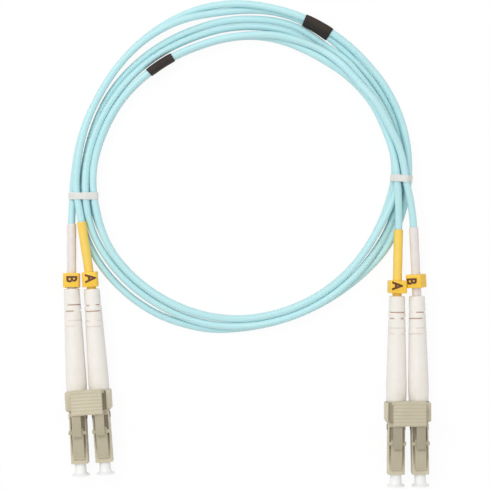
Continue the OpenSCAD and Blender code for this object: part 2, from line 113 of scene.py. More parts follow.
# A marker: letter, width, length, gap to the boot, turn about the sleeve and on the table in
# degrees, and the letter's place off its middle
Marker = namedtuple("Marker", "letter w l gap turn yaw letter_at")
PLUGS = (
    Plug("left_b", "left", 0.9, 57, "white", Marker("B", 4.3, 3.7, 0.3, 0, 0, (0.2, 0.2))),
    Plug("left_a", "left", 1.3, 0, "yellow", Marker("A", 4.1, 3.9, 0.6, 0, 4.5, (0.25, 0.3))),
    Plug("right_a", "right", 0.1, 90, "yellow", Marker("A", 4.7, 3.3, 0.8, -5, 0, (-0.3, 0.3))),
    Plug("right_b", "right", 0.1, 32, "white", Marker("B", 4.4, 3.5, 2.2, 28, 0, (-0.3, 0))),
)
# A pair's trigger: width of its pad, how far pad and arms stand to the side, where the arms start,
# how much painted shade darkens them, and the groove beside the pad in the clip's top: its middle,
# width and share of painted shade
Trigger = namedtuple("Trigger", "pad_w pad_x arm_x arm_y shade groove")
PAIRS = {
    "left": Trigger(8.1, -0.2, -0.14, 7.35, 0.12, (4.3, 1.0, 0.55)),
    "right": Trigger(8.5, 0.2, 0.1, 6.9, 0.3, (-4.6, 1.15, 0.38)),
}
# Cords: the side of the pair's middle that each has where the pair lies flat, outwards positive,
# and the plugs at its two ends
CORDS = {"cord_a": (-1, "left_a", "right_a"), "cord_b": (1, "left_b", "right_b")}

# Where each sleeve ends on its cord, and the cord's way from there up to the coil, in millimetres
SLEEVE_TOPS = {
    "left_b": (-46.3, 42.9, 2.1),
    "left_a": (-43.6, 43.4, 3.5),
    "right_a": (39.3, 41.4, 3.55),
    "right_b": (43.2, 42, 3.9),
}
LEAD_ROUTES = {
    "left_b": ((-45.9, 53, 1.25), (-46, 50.2, 1.3), (-46.2, 46.5, 1.6)),
    "left_a": ((-45, 53, 3.1), (-44.7, 50.2, 3.15), (-44.2, 46.8, 3.35)),
    "right_a": ((38.95, 54, 4.6), (39.2, 50.5, 4.35), (39.3, 46, 3.9)),
    "right_b": ((41.2, 54, 4.95), (42, 50.5, 4.7), (42.8, 46, 4.3)),
}

# Coil: rows of angle from the top (clockwise), radius of the pair's middle, height of the pair's
# underside, roll of cord B about cord A, and the distance between the two cords, in millimetres
COIL_MIDDLE = (-2.2, 57.6)
COIL_FROM = -90
COIL_TO = 810
NEAR = 1.97  # the two cords' usual distance, from middle to middle
COIL = np.array([
    [-100, 43.85, 0.35, -60, 2.05],
    [-90, 42.85, 0.3, -72, 2],
    [-75, 42, 0, -82, NEAR],
    [-60, 41.45, 0, -85, NEAR],
    [-38, 41.85, 0, -80, NEAR],
    [-22, 42.15, 0, -54, NEAR],
    [-8, 42.15, 0, 0, NEAR],
    [8, 42.25, 0, 60, NEAR],
    [20, 42.3, 0.3, 70, NEAR],
    [35, 42.1, 0.2, 48, NEAR],
    [50, 42.2, 0, 14, NEAR],
    [62, 42.8, 0, 26, NEAR],
    [75, 43.25, 0, 31, NEAR],
    [92, 43.6, 0.35, 53, NEAR],
    [104, 43.3, 0, 20, NEAR],
    [116, 42.95, 0, 0, NEAR],
    [128, 42.2, 0, -45, NEAR],
    [138, 41.65, 0, -68, NEAR],
    [150, 41.35, 0, -84, NEAR],
    [165, 41.33, 0, -86, NEAR],
    [178, 41.7, 0, -76, NEAR],
    [190, 42.35, 0, -52, 2],
    [200, 42.65, 0, -35, 2.15],
    [212, 42.95, 0, -30, 2.75],
    [235, 43.3, 0, -28, 2.75],
    [246, 43.15, 0.1, -26, 2.4],
    [253, 42.5, 0.2, -42, 2.4],
    [260, 41.5, 0.35, -62, 2.44],
    [270, 40.45, 0.3, -72, 2.05],
    [285, 39.25, 0, -62, NEAR],
    [300, 38.4, 0, -42, NEAR],
    [322, 37.45, 0, -30, NEAR],
    [340, 37.25, 0, -12, 2],
    [352, 37.7, 0, 0, NEAR],
    [365, 38.25, 0, 0, NEAR],
    [382, 38.85, 0, 0, NEAR],
    [395, 38.15, 0, 0, NEAR],
    [405, 38.75, 0, 40, NEAR],
    [415, 39.3, 0, 77, NEAR],
    [435, 40.45, 0, 63, NEAR],
    [452, 41.25, 0.35, 54, NEAR],
    [464, 40.35, 0, 70, NEAR],
    [476, 39.6, 0, 88, NEAR],
    [498, 39.35, 0, 88, NEAR],
    [525, 39.34, 0, 90, NEAR],
    [538, 39.6, 0, 90, NEAR],
    [572, 39.8, 0, 90, NEAR],
    [595, 40.1, 0, 90, NEAR],
    [606, 39.75, 0.1, 98, 2],
    [613, 39.5, 0.2, 110, 2.05],
    [620, 39.4, 0.35, 121, 2.1],
    [630, 38.35, 0.3, 97, NEAR],
    [645, 36.9, 0, 90, NEAR],
    [660, 35.7, 0, 90, NEAR],
    [676, 34.45, 0.3, 90, NEAR],
    [688, 33.9, 0.3, 90, NEAR],
    [700, 33.7, 0, 90, NEAR],
    [712, 34.05, 0, 90, NEAR],
    [725, 34.8, 0, 85, NEAR],
    [735, 35.45, 0.2, 65, NEAR],
    [745, 35.9, 0.8, 45, NEAR],
    [755, 36.5, 1.8, 10, NEAR],
    [765, 37.15, 1.9, 45, 2],
    [775, 37.85, 2, 73, 2.05],
    [785, 38.95, 2.75, 66, 2.1],
    [795, 39.85, 2.75, 57, 2.2],
    [803, 41, 3.2, 33, 2.15],
    [812, 42, 3.8, 9, 2.1],
])

# Sides of a cord's outline, and how far a sleeve goes into its boot, in millimetres. The print on a
# marker: its thickness in millimetres and the share of the font's width that its letters keep
CORD_COLUMNS = 20
SLEEVE_IN_BOOT = 1.2
LETTER_T = 0.06
LETTER_NARROW = 0.82

# Black bands: angle on the coil and length. White ties: their place along Y, the angles of the
# two passes of the coil that they hold, their turn, and the first point and length of their outer lap
BANDS = {"outer_band": (28.8, 7.7), "inner_band": (682.5, 7.5)}
Tie = namedtuple("Tie", "y passes turn lap")
TIES = {
    "left_tie": Tie(50.2, (259.8, 619.3), 0, (0, 70)),
    "right_tie": Tie(54.7, (94, 454), -5, (4, 60)),
}

# Parts inside each plug, and their finishes
INNER_NODES = {
    "ferrule": "zirconia",
    "ferrule_holder": "nickel",
    "spring": "spring_steel",
    "crimp_body": "nickel",
    "crimp_sleeve": "nickel",
}


def length(name, value, description):
    """A size that a user can change, given here in millimetres."""
    return FloatProperty(
        name=name, description=description, default=value * MM, min=0, unit="LENGTH"
    )


def colour(name, red, green, blue, description):
    """A colour that a user can change, as it shows on a screen, from 0 to 255."""
    return FloatVectorProperty(
        name=name,
        description=description,
        default=(red / 255, green / 255, blue / 255),
        min=0,
        max=1,
        subtype="COLOR_GAMMA",
    )


class CordSizes(bpy.types.PropertyGroup):
    """Sizes of the cords and of what is wrapped round them."""

    cord_d: length("Cord diameter", 1.9, "Outside diameter of one jacketed cord")
    sleeve_d: length("Sleeve diameter", 2.44, "Outside diameter of an identity sleeve")
    marker_corner: length("Marker corner", 0.75, "Corner radius of a marker ring")
    letter_h: length("Letter height", 2.85, "Height of the polarity letter on a marker")
    band_wall: length("Band wall", 0.2, "Wall of the black bands round both cords")
    tie_w: length("Tie width", 1.85, "Width of a white tie along the cords")
    tie_t: length("Tie thickness", 0.17, "Thickness of one lap of a white tie")


class PlugSizes(bpy.types.PropertyGroup):
    """Sizes of the plugs, their boots and caps, and of the clips that pair them."""

    axis_z: length("Axis height", 3.4, "Height of the ferrule's axis above the table")
    body_w: length("Body width", 4.5, "Width and height of a plug's square body")
    body_l: length("Body length", 16.9, "Length of a plug's body")
    latch_w: length("Latch width", 2.95, "Width of the latch tongue")
    latch_l: length("Latch length", 8.1, "Length of the latch tongue")
    latch_t: length("Latch thickness", 0.45, "Thickness of the latch tongue")
    boot_l: length("Boot length", 27.7, "Length of a strain relief boot")
    boot_d: length("Boot diameter", 5.4, "Widest diameter of a boot")
    boot_end_d: length("Boot end diameter", 4.1, "Diameter of a boot where the cord enters it")
    cap_d: length("Cap diameter", 4.7, "Diameter of a dust cap's flange")
    cap_out: length("Cap reach", 3.3, "How far a dust cap stands out of the plug")
    clip_w: length("Clip width", 12.0, "Width of the clip that joins two plugs")
    clip_l: length("Clip length", 5.1, "Length of the clip along the plugs")
    clip_h: length("Clip height", 6.5, "Height of the clip's top face")
    arm_w: length("Arm width", 2.4, "Width of each arm of the trigger")


class Finishes(bpy.types.PropertyGroup):
    """Colours of the finishes, as they show on a screen."""

    jacket: colour("Jacket", 193, 232, 234, "Aqua jacket of the cords")
    boot: colour("Boot", 240, 235, 228, "Soft white plastic of the boots")
    sleeve: colour("White sleeve", 240, 231, 226, "Shrunk white sleeves")
    yellow_sleeve: colour("Yellow sleeve", 255, 211, 96, "Shrunk yellow sleeves")
    marker: colour("Marker", 255, 204, 64, "Yellow marker rings")
    ink: colour("Letter", 96, 48, 10, "Polarity letters")
    beige: colour("Beige", 208, 199, 174, "Moulded plastic of clips, triggers and plug bodies")
    # Painted shade: a darker copy of the beige, for the shade on the sloping latches and arms
    latch: colour("Latch", 190, 181, 155, "Moulded plastic of the latches")
    cap: colour("Dust cap", 246, 246, 246, "Dust caps")
    band: colour("Band", 40, 28, 22, "Black bands round both cords")
    tie: colour("Tie", 250, 249, 243, "White ties round the coil")
    # Painted shade: the colour that the slits turn to, for the shade inside them
    slit: colour("Slit", 214, 176, 144, "Inside of a boot's flex slits")
    # Painted shade: the colour that recesses and ears turn to, for the shade in and under them
    recess_shade: colour("Recess", 96, 74, 52, "Recesses of the plug bodies")
    zirconia: colour("Zirconia", 244.8, 244.8, 237.15, "Ceramic of the ferrules")
    fibre: colour("Fibre", 237.15, 242.25, 229.5, "Bare glass fibre")
    nickel: colour("Nickel", 193.8, 191.25, 183.6, "Plated collars and crimp parts")
    steel: colour("Spring steel", 173.4, 173.4, 178.5, "Springs behind the ferrules")


class Studio(bpy.types.PropertyGroup):
    """Camera and light."""

    camera_x: FloatProperty(
        name="Camera X", description="Camera's place along X", default=-0.842 * MM, unit="LENGTH"
    )
    camera_y: length("Camera Y", 37.36, "Camera's place along Y, which is also the picture's middle")
    camera_z: length("Camera height", 560, "Camera's height above the table")
    picture_w: length("Picture width", 128.92, "Width of the table that the picture shows")
    dome: FloatProperty(
        name="Dome light", description="Strength of the even light", default=0.74, min=0
    )
    key: FloatProperty(name="Key light", description="Power of the soft lamp", default=3.6, min=0)
    floor_depth: FloatProperty(
        name="Shadow depth",
        description="Share of the floor's white that a shadow can take",
        default=0.07,
        min=0,
        max=1,
    )


GROUPS = {
    "patch_cord_cords": CordSizes,
    "patch_cord_plugs": PlugSizes,
    "patch_cord_finishes": Finishes,
    "patch_cord_studio": Studio,
}


def cord_sizes():
    return bpy.context.scene.patch_cord_cords


def plug_sizes():
    return bpy.context.scene.patch_cord_plugs


def finishes():
    return bpy.context.scene.patch_cord_finishes


def studio():
    return bpy.context.scene.patch_cord_studio


# ---------------------------------------------------------------- places


def unit(v):
    """A vector or rows of vectors at length one."""
    v = np.asarray(v, float)
    return v / np.linalg.norm(v, axis=-1, keepdims=True)


class Seat:
    """A piece's place: an origin and the directions of its own X, Y and Z, in the frame."""

    def __init__(self, origin=(0, 0, 0), x=(1, 0, 0), y=(0, 1, 0)):
        self.origin = np.asarray(origin, float)
        self.axes = np.array([unit(x), unit(y), unit(np.cross(x, y))])

    def put(self, points):
        """Points of its own, in the frame."""
        return np.asarray(points, float) @ self.axes + self.origin

    def moved(self, x=0.0, y=0.0, z=0.0):
        """The same directions from another point of its own."""
        return Seat(self.put([x, y, z]), self.axes[0], self.axes[1])

    def turned_about_x(self, degrees):
        """Positive turns carry Y upwards."""
        a = np.radians(degrees)
        return Seat(self.origin, self.axes[0], np.cos(a) * self.axes[1] + np.sin(a) * self.axes[2])

    def turned_about_z(self, degrees):
        """Positive turns carry Y towards +X."""
        a = np.radians(degrees)
        return Seat(
            self.origin,
            np.cos(a) * self.axes[0] - np.sin(a) * self.axes[1],
            np.cos(a) * self.axes[1] + np.sin(a) * self.axes[0],
        )

    def turned_about_y(self, degrees):
        """Positive turns carry the top towards -X."""
        a = np.radians(degrees)
        return Seat(self.origin, np.cos(a) * self.axes[0] + np.sin(a) * self.axes[2], self.axes[1])


def plug_named(name):
    """The plug of that name."""
    return next(p for p in PLUGS if p.name == name)


def hinge_seat(name, y, z):
    """The place whose X runs along a hinge that stands at y and z in it, in millimetres."""
    hinge = JOINTS[name]
    seat = Seat(hinge["pos_m"], hinge["axis"], np.cross(UP, hinge["axis"]))
    return seat.moved(y=-y * MM, z=-z * MM)


def plug_seat(plug):
    """A plug's place on the table, read from its latch joint: Y along the ferrule, origin under its front."""
    return hinge_seat(plug.name + "_latch_flex", LATCH_Y, LATCH_Z)


def pair_seat(pair):
    """A clipped pair's place on the table, read from its trigger joint."""
    return hinge_seat(pair + "_trigger_press", TRIGGER_Y, TRIGGER_Z)


def boot_front(plug):
    """Where a boot starts in its clip, along the plug."""
    return CLIP_Y * MM + plug_sizes().clip_l - plug.boot_depth * MM


def mouth(plug):
    """Where the cord leaves a plug's boot."""
    return plug_seat(plug).put([0, boot_front(plug) + plug_sizes().boot_l, plug_sizes().axis_z])


def sleeve_seat(plug):
    """A sleeve's place: Y runs up the sleeve from the boot's mouth."""
    way = JOINTS[plug.name + "_marker_slide"]["axis"]
    return Seat(mouth(plug), np.cross(way, UP), way)


# ---------------------------------------------------------------- shapes


def skin(points, loop=False):
    """Closed surface over a grid of rings: a square between each two neighbouring rings and columns.
    A loop's last ring joins its first; otherwise a fan onto the middle closes each end."""
    rows, columns = points.shape[:2]
    row = np.arange(rows if loop else rows - 1)[:, None] * columns
    below = (row + columns) % (rows * columns)
    here = np.arange(columns)[None, :]
    right = (here + 1) % columns
    faces = np.stack([row + here, row + right, below + right, below + here], -1).reshape(-1, 4).tolist()
    flat = points.reshape(-1, 3)
    if loop:
        return flat, faces
    first, last = len(flat), len(flat) + 1
    end = (rows - 1) * columns
    here, right = here[0], right[0]
    faces += np.stack([np.full(columns, first), right, here], -1).tolist()
    faces += np.stack([np.full(columns, last), end + here, end + right], -1).tolist()
    return np.vstack([flat, points[0].mean(0), points[-1].mean(0)]), faces


def merged(*shapes):
    """Several closed surfaces as one shape."""
    points, faces, start = [], [], 0
    for p, f in shapes:
        points.append(p)
        faces += [[start + i for i in face] for face in f]
        start += len(p)
    return np.vstack(points), faces


def seated(shape, seat):
    """A shape moved from its own place into the frame."""
    return seat.put(shape[0]), shape[1]


def lathe(profile, columns=48, loop=False):
    """Profile of (radius, station) pairs turned about Y: x = r cos a, y = station, z = r sin a."""
    profile = np.asarray(profile, float)
    angle = np.arange(columns) * 2 * np.pi / columns
    ring = np.stack([np.cos(angle), np.zeros(columns), np.sin(angle)], -1)
    points = profile[:, :1, None] * ring + profile[:, 1:, None] * np.array([0, 1.0, 0])
    return skin(points, loop)


def rounded_rectangle(width, height, radius, steps=5):
    """Outline of a rectangle with a quarter circle in each corner, in X and Z, counter-clockwise."""
    turn = np.linspace(0, np.pi / 2, steps)
    angle = np.concatenate([turn + k * np.pi / 2 for k in range(4)])
    sx = np.repeat([1, -1, -1, 1], steps)
    sz = np.repeat([1, 1, -1, -1], steps)
    x = sx * (width / 2 - radius) + radius * np.cos(angle)
    z = sz * (height / 2 - radius) + radius * np.sin(angle)
    return np.stack([x, z], -1)


def bar(width, height, long, edge, corner=None, steps=4):
    """Bar along Y with round edges: rounded rectangles, drawn in at both ends along a quarter circle."""
    corner = edge if corner is None else corner
    turn = np.linspace(0, np.pi / 2, steps)
    inset = np.concatenate([edge * (1 - np.sin(turn)), edge * (1 - np.sin(turn[::-1]))])
    station = np.concatenate([edge * (1 - np.cos(turn)), long - edge * (1 - np.cos(turn[::-1]))])
    rings = [
        ring_at(rounded_rectangle(width - 2 * i, height - 2 * i, max(corner - i, 0.02 * MM)), y)
        for i, y in zip(inset, station)
    ]
    return skin(np.array(rings))


def ring_at(outline, y):
    """An outline in X and Z as a ring of points at one station along Y."""
    return np.stack([outline[:, 0], np.full(len(outline), y), outline[:, 1]], -1)


def carried(path, outline, up=UP):
    """Rings of an outline (across, upward) carried along a path, square to it."""
    way = unit(np.gradient(path, axis=0))
    across = unit(np.cross(way, up))
    top = np.cross(across, way)
    return path[:, None] + outline[None, :, :1] * across[:, None] + outline[None, :, 1:] * top[:, None]


def distances(path):
    """Length along a path at each of its points."""
    steps = np.linalg.norm(np.diff(path, axis=0), axis=1)
    return np.concatenate([[0], np.cumsum(steps)])


def smooth_path(points, step):
    """Smooth cubic through points, with their own spacing as its parameter, at about even steps."""
    s = distances(points)
    slope = np.gradient(points, s, axis=0)
    at = np.linspace(0, s[-1], int(s[-1] / step) + 1)
    return hermite(s, points, slope, at)


def hermite(s, values, slope, at):
    """Cubic through values at stations s with the given slopes, at new stations."""
    i = np.clip(np.searchsorted(s, at, side="right") - 1, 0, len(s) - 2)
    h = (s[i + 1] - s[i])[:, None]
    u = (at - s[i])[:, None] / h
    return (
        (2 * u**3 - 3 * u**2 + 1) * values[i]
        + (u**3 - 2 * u**2 + u) * h * slope[i]
        + (3 * u**2 - 2 * u**3) * values[i + 1]
        + (u**3 - u**2) * h * slope[i + 1]
    )


# ---------------------------------------------------------------- cord routes


def coil_point(angle, side):
    """Points of a cord in the coil at some angles; side is -1 for cord A and 1 for cord B."""
    angle = np.atleast_1d(np.asarray(angle, float))
    slope = np.empty((len(COIL), 4))
    slope[1:-1] = (COIL[2:, 1:] - COIL[:-2, 1:]) / (COIL[2:, :1] - COIL[:-2, :1])
    slope[0] = (COIL[1, 1:] - COIL[0, 1:]) / (COIL[1, 0] - COIL[0, 0])
    slope[-1] = (COIL[-1, 1:] - COIL[-2, 1:]) / (COIL[-1, 0] - COIL[-2, 0])
    middle, underside, roll, apart = hermite(COIL[:, 0], COIL[:, 1:], slope, angle).T
    roll = np.radians(roll)
    radius = middle + side * apart / 2 * np.cos(roll)
    lift = np.abs(np.sin(roll)) + side * np.sin(roll)
    height = underside + cord_sizes().cord_d / MM / 2 + apart / 2 * lift
    a = np.radians(angle)
    return MM * np.stack(
        [COIL_MIDDLE[0] + radius * np.sin(a), COIL_MIDDLE[1] + radius * np.cos(a), height], -1
    )


def lead_path(name):
    """Route points of a cord from the coil down through its sleeve and boot to the crimp."""
    plug = plug_named(name)
    seat = plug_seat(plug)
    foot = mouth(plug)
    top = MM * np.array(SLEEVE_TOPS[name])
    mouth_y = boot_front(plug) + plug_sizes().boot_l
    # Straight down through the sleeve, then along the boot's axis to the crimp
    sleeve = foot + np.array([0.75, 0.5, 0.25])[:, None] * (top - foot)
    inside = [[0, mouth_y - y * MM, plug_sizes().axis_z] for y in (1.6, 5, 12)]
    inside.append([0, CRIMP_END_Y * MM, plug_sizes().axis_z])
    return np.vstack([
        MM * np.array(LEAD_ROUTES[name]),
        top,
        sleeve,
        foot + 0.3 * MM * unit(top - foot),
        seat.put(inside),
    ])


def cord_path(side, left, right, step=1.1 * MM):
    """A whole cord from the left plug's crimp, round the coil, to the right plug's crimp."""
    coil = coil_point(np.arange(COIL_FROM, COIL_TO + 1, 3), side)
    return smooth_path(np.vstack([lead_path(left)[::-1], coil, lead_path(right)]), step)


# ---------------------------------------------------------------- meshes


def linked(name, data):
    """A new object in the scene."""
    thing = bpy.data.objects.new(name, data)
    bpy.context.scene.collection.objects.link(thing)
    return thing


def shown_mesh(thing):
    """An object's shape as it shows, with its modifiers, as a new mesh."""
    shown = thing.evaluated_get(bpy.context.evaluated_depsgraph_get())
    return bpy.data.meshes.new_from_object(shown)


def points_of(mesh):
    """A mesh's points as rows of X, Y and Z."""
    flat = np.empty(len(mesh.vertices) * 3)
    mesh.vertices.foreach_get("co", flat)
    return flat.reshape(-1, 3)


def keep(mesh, name, values):
    """Keeps one number for all points of a mesh, or a number or a vector for each, as an attribute."""
    values = np.asarray(values, np.float32)
    if values.ndim == 0:
        values = np.full(len(mesh.vertices), values)
    kind, key = ("FLOAT", "value") if values.ndim == 1 else ("FLOAT_VECTOR", "vector")
    layer = mesh.attributes.new(name, kind, "POINT")
    layer.data.foreach_set(key, values.ravel())


def smoothed(mesh):
    """Smooth shading but for edges over an angle."""
    mesh.polygons.foreach_set("use_smooth", np.ones(len(mesh.polygons), bool))
    mesh.set_sharp_from_angle(angle=np.radians(SHARP))
    return mesh


def mesh_from(name, shape, **attributes):
    """A mesh of a shape: doubles merged, faces outwards."""
    mesh = bpy.data.meshes.new(name)
    mesh.from_pydata(shape[0].tolist(), [], shape[1])
    for key, values in attributes.items():
        keep(mesh, key, values)
    work = bmesh.new()
    work.from_mesh(mesh)
    bmesh.ops.remove_doubles(work, verts=work.verts, dist=1e-7)
    bmesh.ops.dissolve_degenerate(work, edges=work.edges, dist=1e-8)
    bmesh.ops.recalc_face_normals(work, faces=work.faces)
    work.to_mesh(mesh)
    work.free()
    return smoothed(mesh)


def place(name, mesh, body, slot, replaces=(), finish=None):
    """Links a finished mesh as a piece that rides on a body and stands for some nodes. Its material
    is the slot's, unless a finish is named."""
    piece = linked(name, mesh)
    mesh.materials.clear()
    mesh.materials.append(material(finish or slot))
    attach(piece, body)
    if replaces:
        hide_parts(*replaces)
    return piece


def add_piece(name, shape, body, slot, replaces=(), finish=None, **attributes):
    """Makes a piece straight from a shape, with any attributes for its finish."""
    return place(name, mesh_from(name, shape, **attributes), body, slot, replaces, finish)


def carved(name, shape, cutters):
    """A shape with other closed shapes cut out of it, as a mesh."""
    block = linked(name + "_block", mesh_from(name, shape))
    tools = [linked(name + "_tool", mesh_from(name + "_tool", cutter)) for cutter in cutters]
    for tool in tools:
        cut = block.modifiers.new("cut", "BOOLEAN")
        cut.operation = "DIFFERENCE"
        cut.solver = "EXACT"
        cut.object = tool
    mesh = shown_mesh(block)
    for thing in [block, *tools]:
        bpy.data.objects.remove(thing)
    return smoothed(mesh)


# ---------------------------------------------------------------- materials


def shown_as(name):
    """A colour of the finishes as the renderer wants it, from the one that a screen shows."""
    shown = np.array(getattr(finishes(), name))
    low = shown / 12.92
    high = ((shown + 0.055) / 1.055) ** 2.4
    return (*np.where(shown <= 0.04045, low, high), 1.0)


class Graph:
    """Nodes of a material or a world."""

    def __init__(self, owner):
        owner.use_nodes = True
        self.owner = owner
        self.nodes = owner.node_tree.nodes
        self.links = owner.node_tree.links

    def fill(self, node, inputs):
        """Links or sets some inputs of a node."""
        for key, value in inputs.items():
            if isinstance(value, bpy.types.NodeSocket):
                self.links.new(value, node.inputs[key])
            else:
                node.inputs[key].default_value = value

    def finish(self, inputs):
        """Fills the Principled shader."""
        self.fill(self.nodes["Principled BSDF"], inputs)
        return self.owner

    def add(self, kind, inputs=None, **settings):
        """Adds a node with some settings and inputs."""
        node = self.nodes.new("ShaderNode" + kind)
        for key, value in settings.items():
            setattr(node, key, value)
        self.fill(node, inputs or {})
        return node

    def noise(self, where, scale, detail):
        """Cloudy values about a half; the scale is in clouds per metre."""
        return self.add("TexNoise", {"Vector": where, "Scale": scale, "Detail": detail}).outputs["Fac"]

    def mix(self, factor, a, b):
        """A colour from a at factor 0 to b at factor 1."""
        return self.add("Mix", {0: factor, 6: a, 7: b}, data_type="RGBA").outputs[2]

    def ranged(self, value, low, high, new_low, new_high):
        """A value carried from one range to another and kept inside it."""
        inputs = {"Value": value, "From Min": low, "From Max": high, "To Min": new_low, "To Max": new_high}
        return self.add("MapRange", inputs).outputs["Result"]

    def bump(self, height, strength, relief):
        """A rough skin, its relief in millimetres."""
        inputs = {"Height": height, "Strength": strength, "Distance": relief * MM}
        return self.add("Bump", inputs).outputs["Normal"]

    def object_place(self):
        return self.add("TexCoord").outputs["Object"]

    def attribute(self, name):
        return self.add("Attribute", attribute_name=name)


def shaded(colour, factor):
    """A colour made darker or lighter by a factor."""
    return (*(min(1.0, c * factor) for c in colour[:3]), 1.0)


def softness(weight):
    """Light that goes into the plastic and comes out nearby."""
    return {
        "Subsurface Weight": weight,
        "Subsurface Radius": (1, 1, 1),
        "Subsurface Scale": 0.6 * MM,
    }


# Moulded and shrunk plastics: the colour's name, roughness, mottle, grain and relief of the skin in
# millimetres, softness, and the name of the colour of painted shade in slits, recesses and grooves
PLASTICS = {
    "boot_plastic": ("boot", 0.5, 0.025, 0.3, 0.015, 0.4, "slit"),
    "white_sleeve": ("sleeve", 0.45, 0.03, 0.5, 0.03, 0.5, None),
    "yellow_sleeve": ("yellow_sleeve", 0.42, 0.03, 0.5, 0.03, 0.25, None),
    "yellow_marker": ("marker", 0.4, 0.04, 0.3, 0.012, 0.6, None),
    "marker_ink": ("ink", 0.5, 0.1, 0.2, 0.012, 0, None),
    "beige_plastic": ("beige", 0.44, 0.04, 0.18, 0.02, 0.15, "recess_shade"),
    "latch_plastic": ("latch", 0.44, 0.04, 0.18, 0.02, 0.15, None),
    "cap_plastic": ("cap", 0.35, 0.02, 0.4, 0.012, 0, None),
    "black_band": ("band", 0.7, 0.3, 0.35, 0.04, 0, None),
    "white_tie": ("tie", 0.6, 0.04, 0.2, 0.05, 0.5, None),
    "zirconia": ("zirconia", 0.18, 0.02, 0.2, 0.002, 0, None),
    "glass_fibre": ("fibre", 0.25, 0.03, 0.2, 0.005, 0, None),
}
# Turned metals: the colour's name, roughness, and scale of the uneven gloss per millimetre
METALS = {"nickel": ("nickel", 0.28, 2), "spring_steel": ("steel", 0.25, 3)}


def plastic(name):
    """Plastic: clouds of slightly lighter and darker colour, a fine skin and uneven gloss. Painted shade:
    where the mesh's attribute of painted shade rises, the colour turns to the deep one."""
    colour, roughness, mottle, grain, relief, soft, deep = PLASTICS[name]
    graph = Graph(bpy.data.materials.new(name))
    base = shown_as(colour)
    where = graph.object_place()
    tint = graph.ranged(graph.noise(where, 0.35 / MM, 4), 0.3, 0.7, 0, 1)
    body = graph.mix(tint, shaded(base, 1 - mottle), shaded(base, 1 + mottle))
    # Painted shade: where the attribute rises, the deep colour, or the base at 0.16 of its light where a
    # plastic names none
    hollow = graph.attribute("hollow").outputs["Fac"]
    body = graph.mix(hollow, body, shown_as(deep) if deep else shaded(base, 0.16))
    grains = graph.noise(where, 1 / (grain * MM), 2)
    gloss = graph.ranged(grains, 0.3, 0.7, roughness - 0.05, roughness + 0.06)
    normal = graph.bump(grains, 0.5, relief)
    return graph.finish({"Base Color": body, "Roughness": gloss, "Normal": normal, **softness(soft)})


def jacket(name):
    """Extruded jacket: faint streaks along the cord, bluer patches, fine skin, soft gloss."""
    graph = Graph(bpy.data.materials.new(name))
    base = shown_as("jacket")
    where = graph.attribute("unrolled").outputs["Vector"]
    stretched = graph.add("Mapping", {"Vector": where, "Scale": (1, 1, 0.04)}).outputs["Vector"]
    streaks = graph.ranged(graph.noise(stretched, 1.3 / MM, 3), 0.3, 0.7, 0, 1)
    body = graph.mix(streaks, shaded(base, 0.95), shaded(base, 1.04))
    patches = graph.ranged(graph.noise(where, 0.09 / MM, 2), 0.35, 0.65, 0, 0.6)
    body = graph.mix(patches, body, (base[0] * 0.94, base[1] * 0.99, base[2] * 1.04, 1))
    grains = graph.noise(where, 4 / MM, 2)
    gloss = graph.ranged(grains, 0.3, 0.7, 0.36, 0.46)
    normal = graph.bump(grains, 0.4, 0.012)
    return graph.finish({"Base Color": body, "Roughness": gloss, "Normal": normal, **softness(0.6)})


def metal(name):
    """Turned metal: fine uneven gloss over a plain colour."""
    colour, roughness, scale = METALS[name]
    graph = Graph(bpy.data.materials.new(name))
    base = shown_as(colour)
    lines = graph.noise(graph.object_place(), scale / MM, 4)
    body = graph.mix(graph.ranged(lines, 0.3, 0.7, 0, 1), shaded(base, 0.88), shaded(base, 1.05))
    gloss = graph.ranged(lines, 0.3, 0.7, roughness, roughness + 0.12)
    return graph.finish({"Base Color": body, "Roughness": gloss, "Metallic": 1})


MATERIALS = {}


def material(name):
    """A finish by its name, made once."""
    if name not in MATERIALS:
        make = plastic if name in PLASTICS else metal if name in METALS else jacket
        MATERIALS[name] = make(name)
    return MATERIALS[name]


# ---------------------------------------------------------------- pieces


def make_cord(name, side, left, right):
    """A cord: a circle carried along its route, with its own straightened place kept as an attribute."""
    path = cord_path(side, left, right)
    angle = np.arange(CORD_COLUMNS) * 2 * np.pi / CORD_COLUMNS
    outline = cord_sizes().cord_d / 2 * np.stack([np.cos(angle), np.sin(angle)], -1)
    along = distances(path)
    rings = (len(path), CORD_COLUMNS)
    straight = np.concatenate(
        [np.broadcast_to(outline, (*rings, 2)), np.broadcast_to(along[:, None, None], (*rings, 1))], -1
    ).reshape(-1, 3)
    straight = np.vstack([straight, [0, 0, 0], [0, 0, along[-1]]])
    nodes = ["coil_" + name[-1], left + "_lead", right + "_lead"]
    shape = skin(carried(path, outline))
    return add_piece(name, shape, "cord", "aqua_jacket", nodes, unrolled=straight), path


def make_sleeve(plug):
    """A shrunk sleeve: a thin tube whose ends hug the cord, turned about the cord's line."""
    sizes = cord_sizes()
    seat = sleeve_seat(plug)
    top = np.linalg.norm(MM * np.array(SLEEVE_TOPS[plug.name]) - seat.origin)
    r, bore = sizes.sleeve_d / 2, sizes.cord_d / 2 + 0.05 * MM
    low, taper = -SLEEVE_IN_BOOT * MM, 0.35 * MM
    # A faint waviness along it, from shrinking
    station = np.linspace(0.0, 1.0, 40)
    wave = 0.02 * MM * np.sin(station * 23 + len(plug.name)) * np.sin(station * np.pi)
    outer = np.stack([r - 0.01 * MM + wave, low + taper + station * (top - low - 2 * taper)], -1)
    start = [[bore, low], [bore + 0.1 * MM, low], [r - 0.05 * MM, low + 0.1 * MM]]
    end = [[r - 0.05 * MM, top - 0.12 * MM], [bore + 0.07 * MM, top], [bore, top]]
    shape = seated(lathe(np.vstack([start, outer, end]), 40, loop=True), seat)
    node = plug.name + "_sleeve"
    add_piece(node + "_skin", shape, "cord", plug.sleeve + "_sleeve", [node])


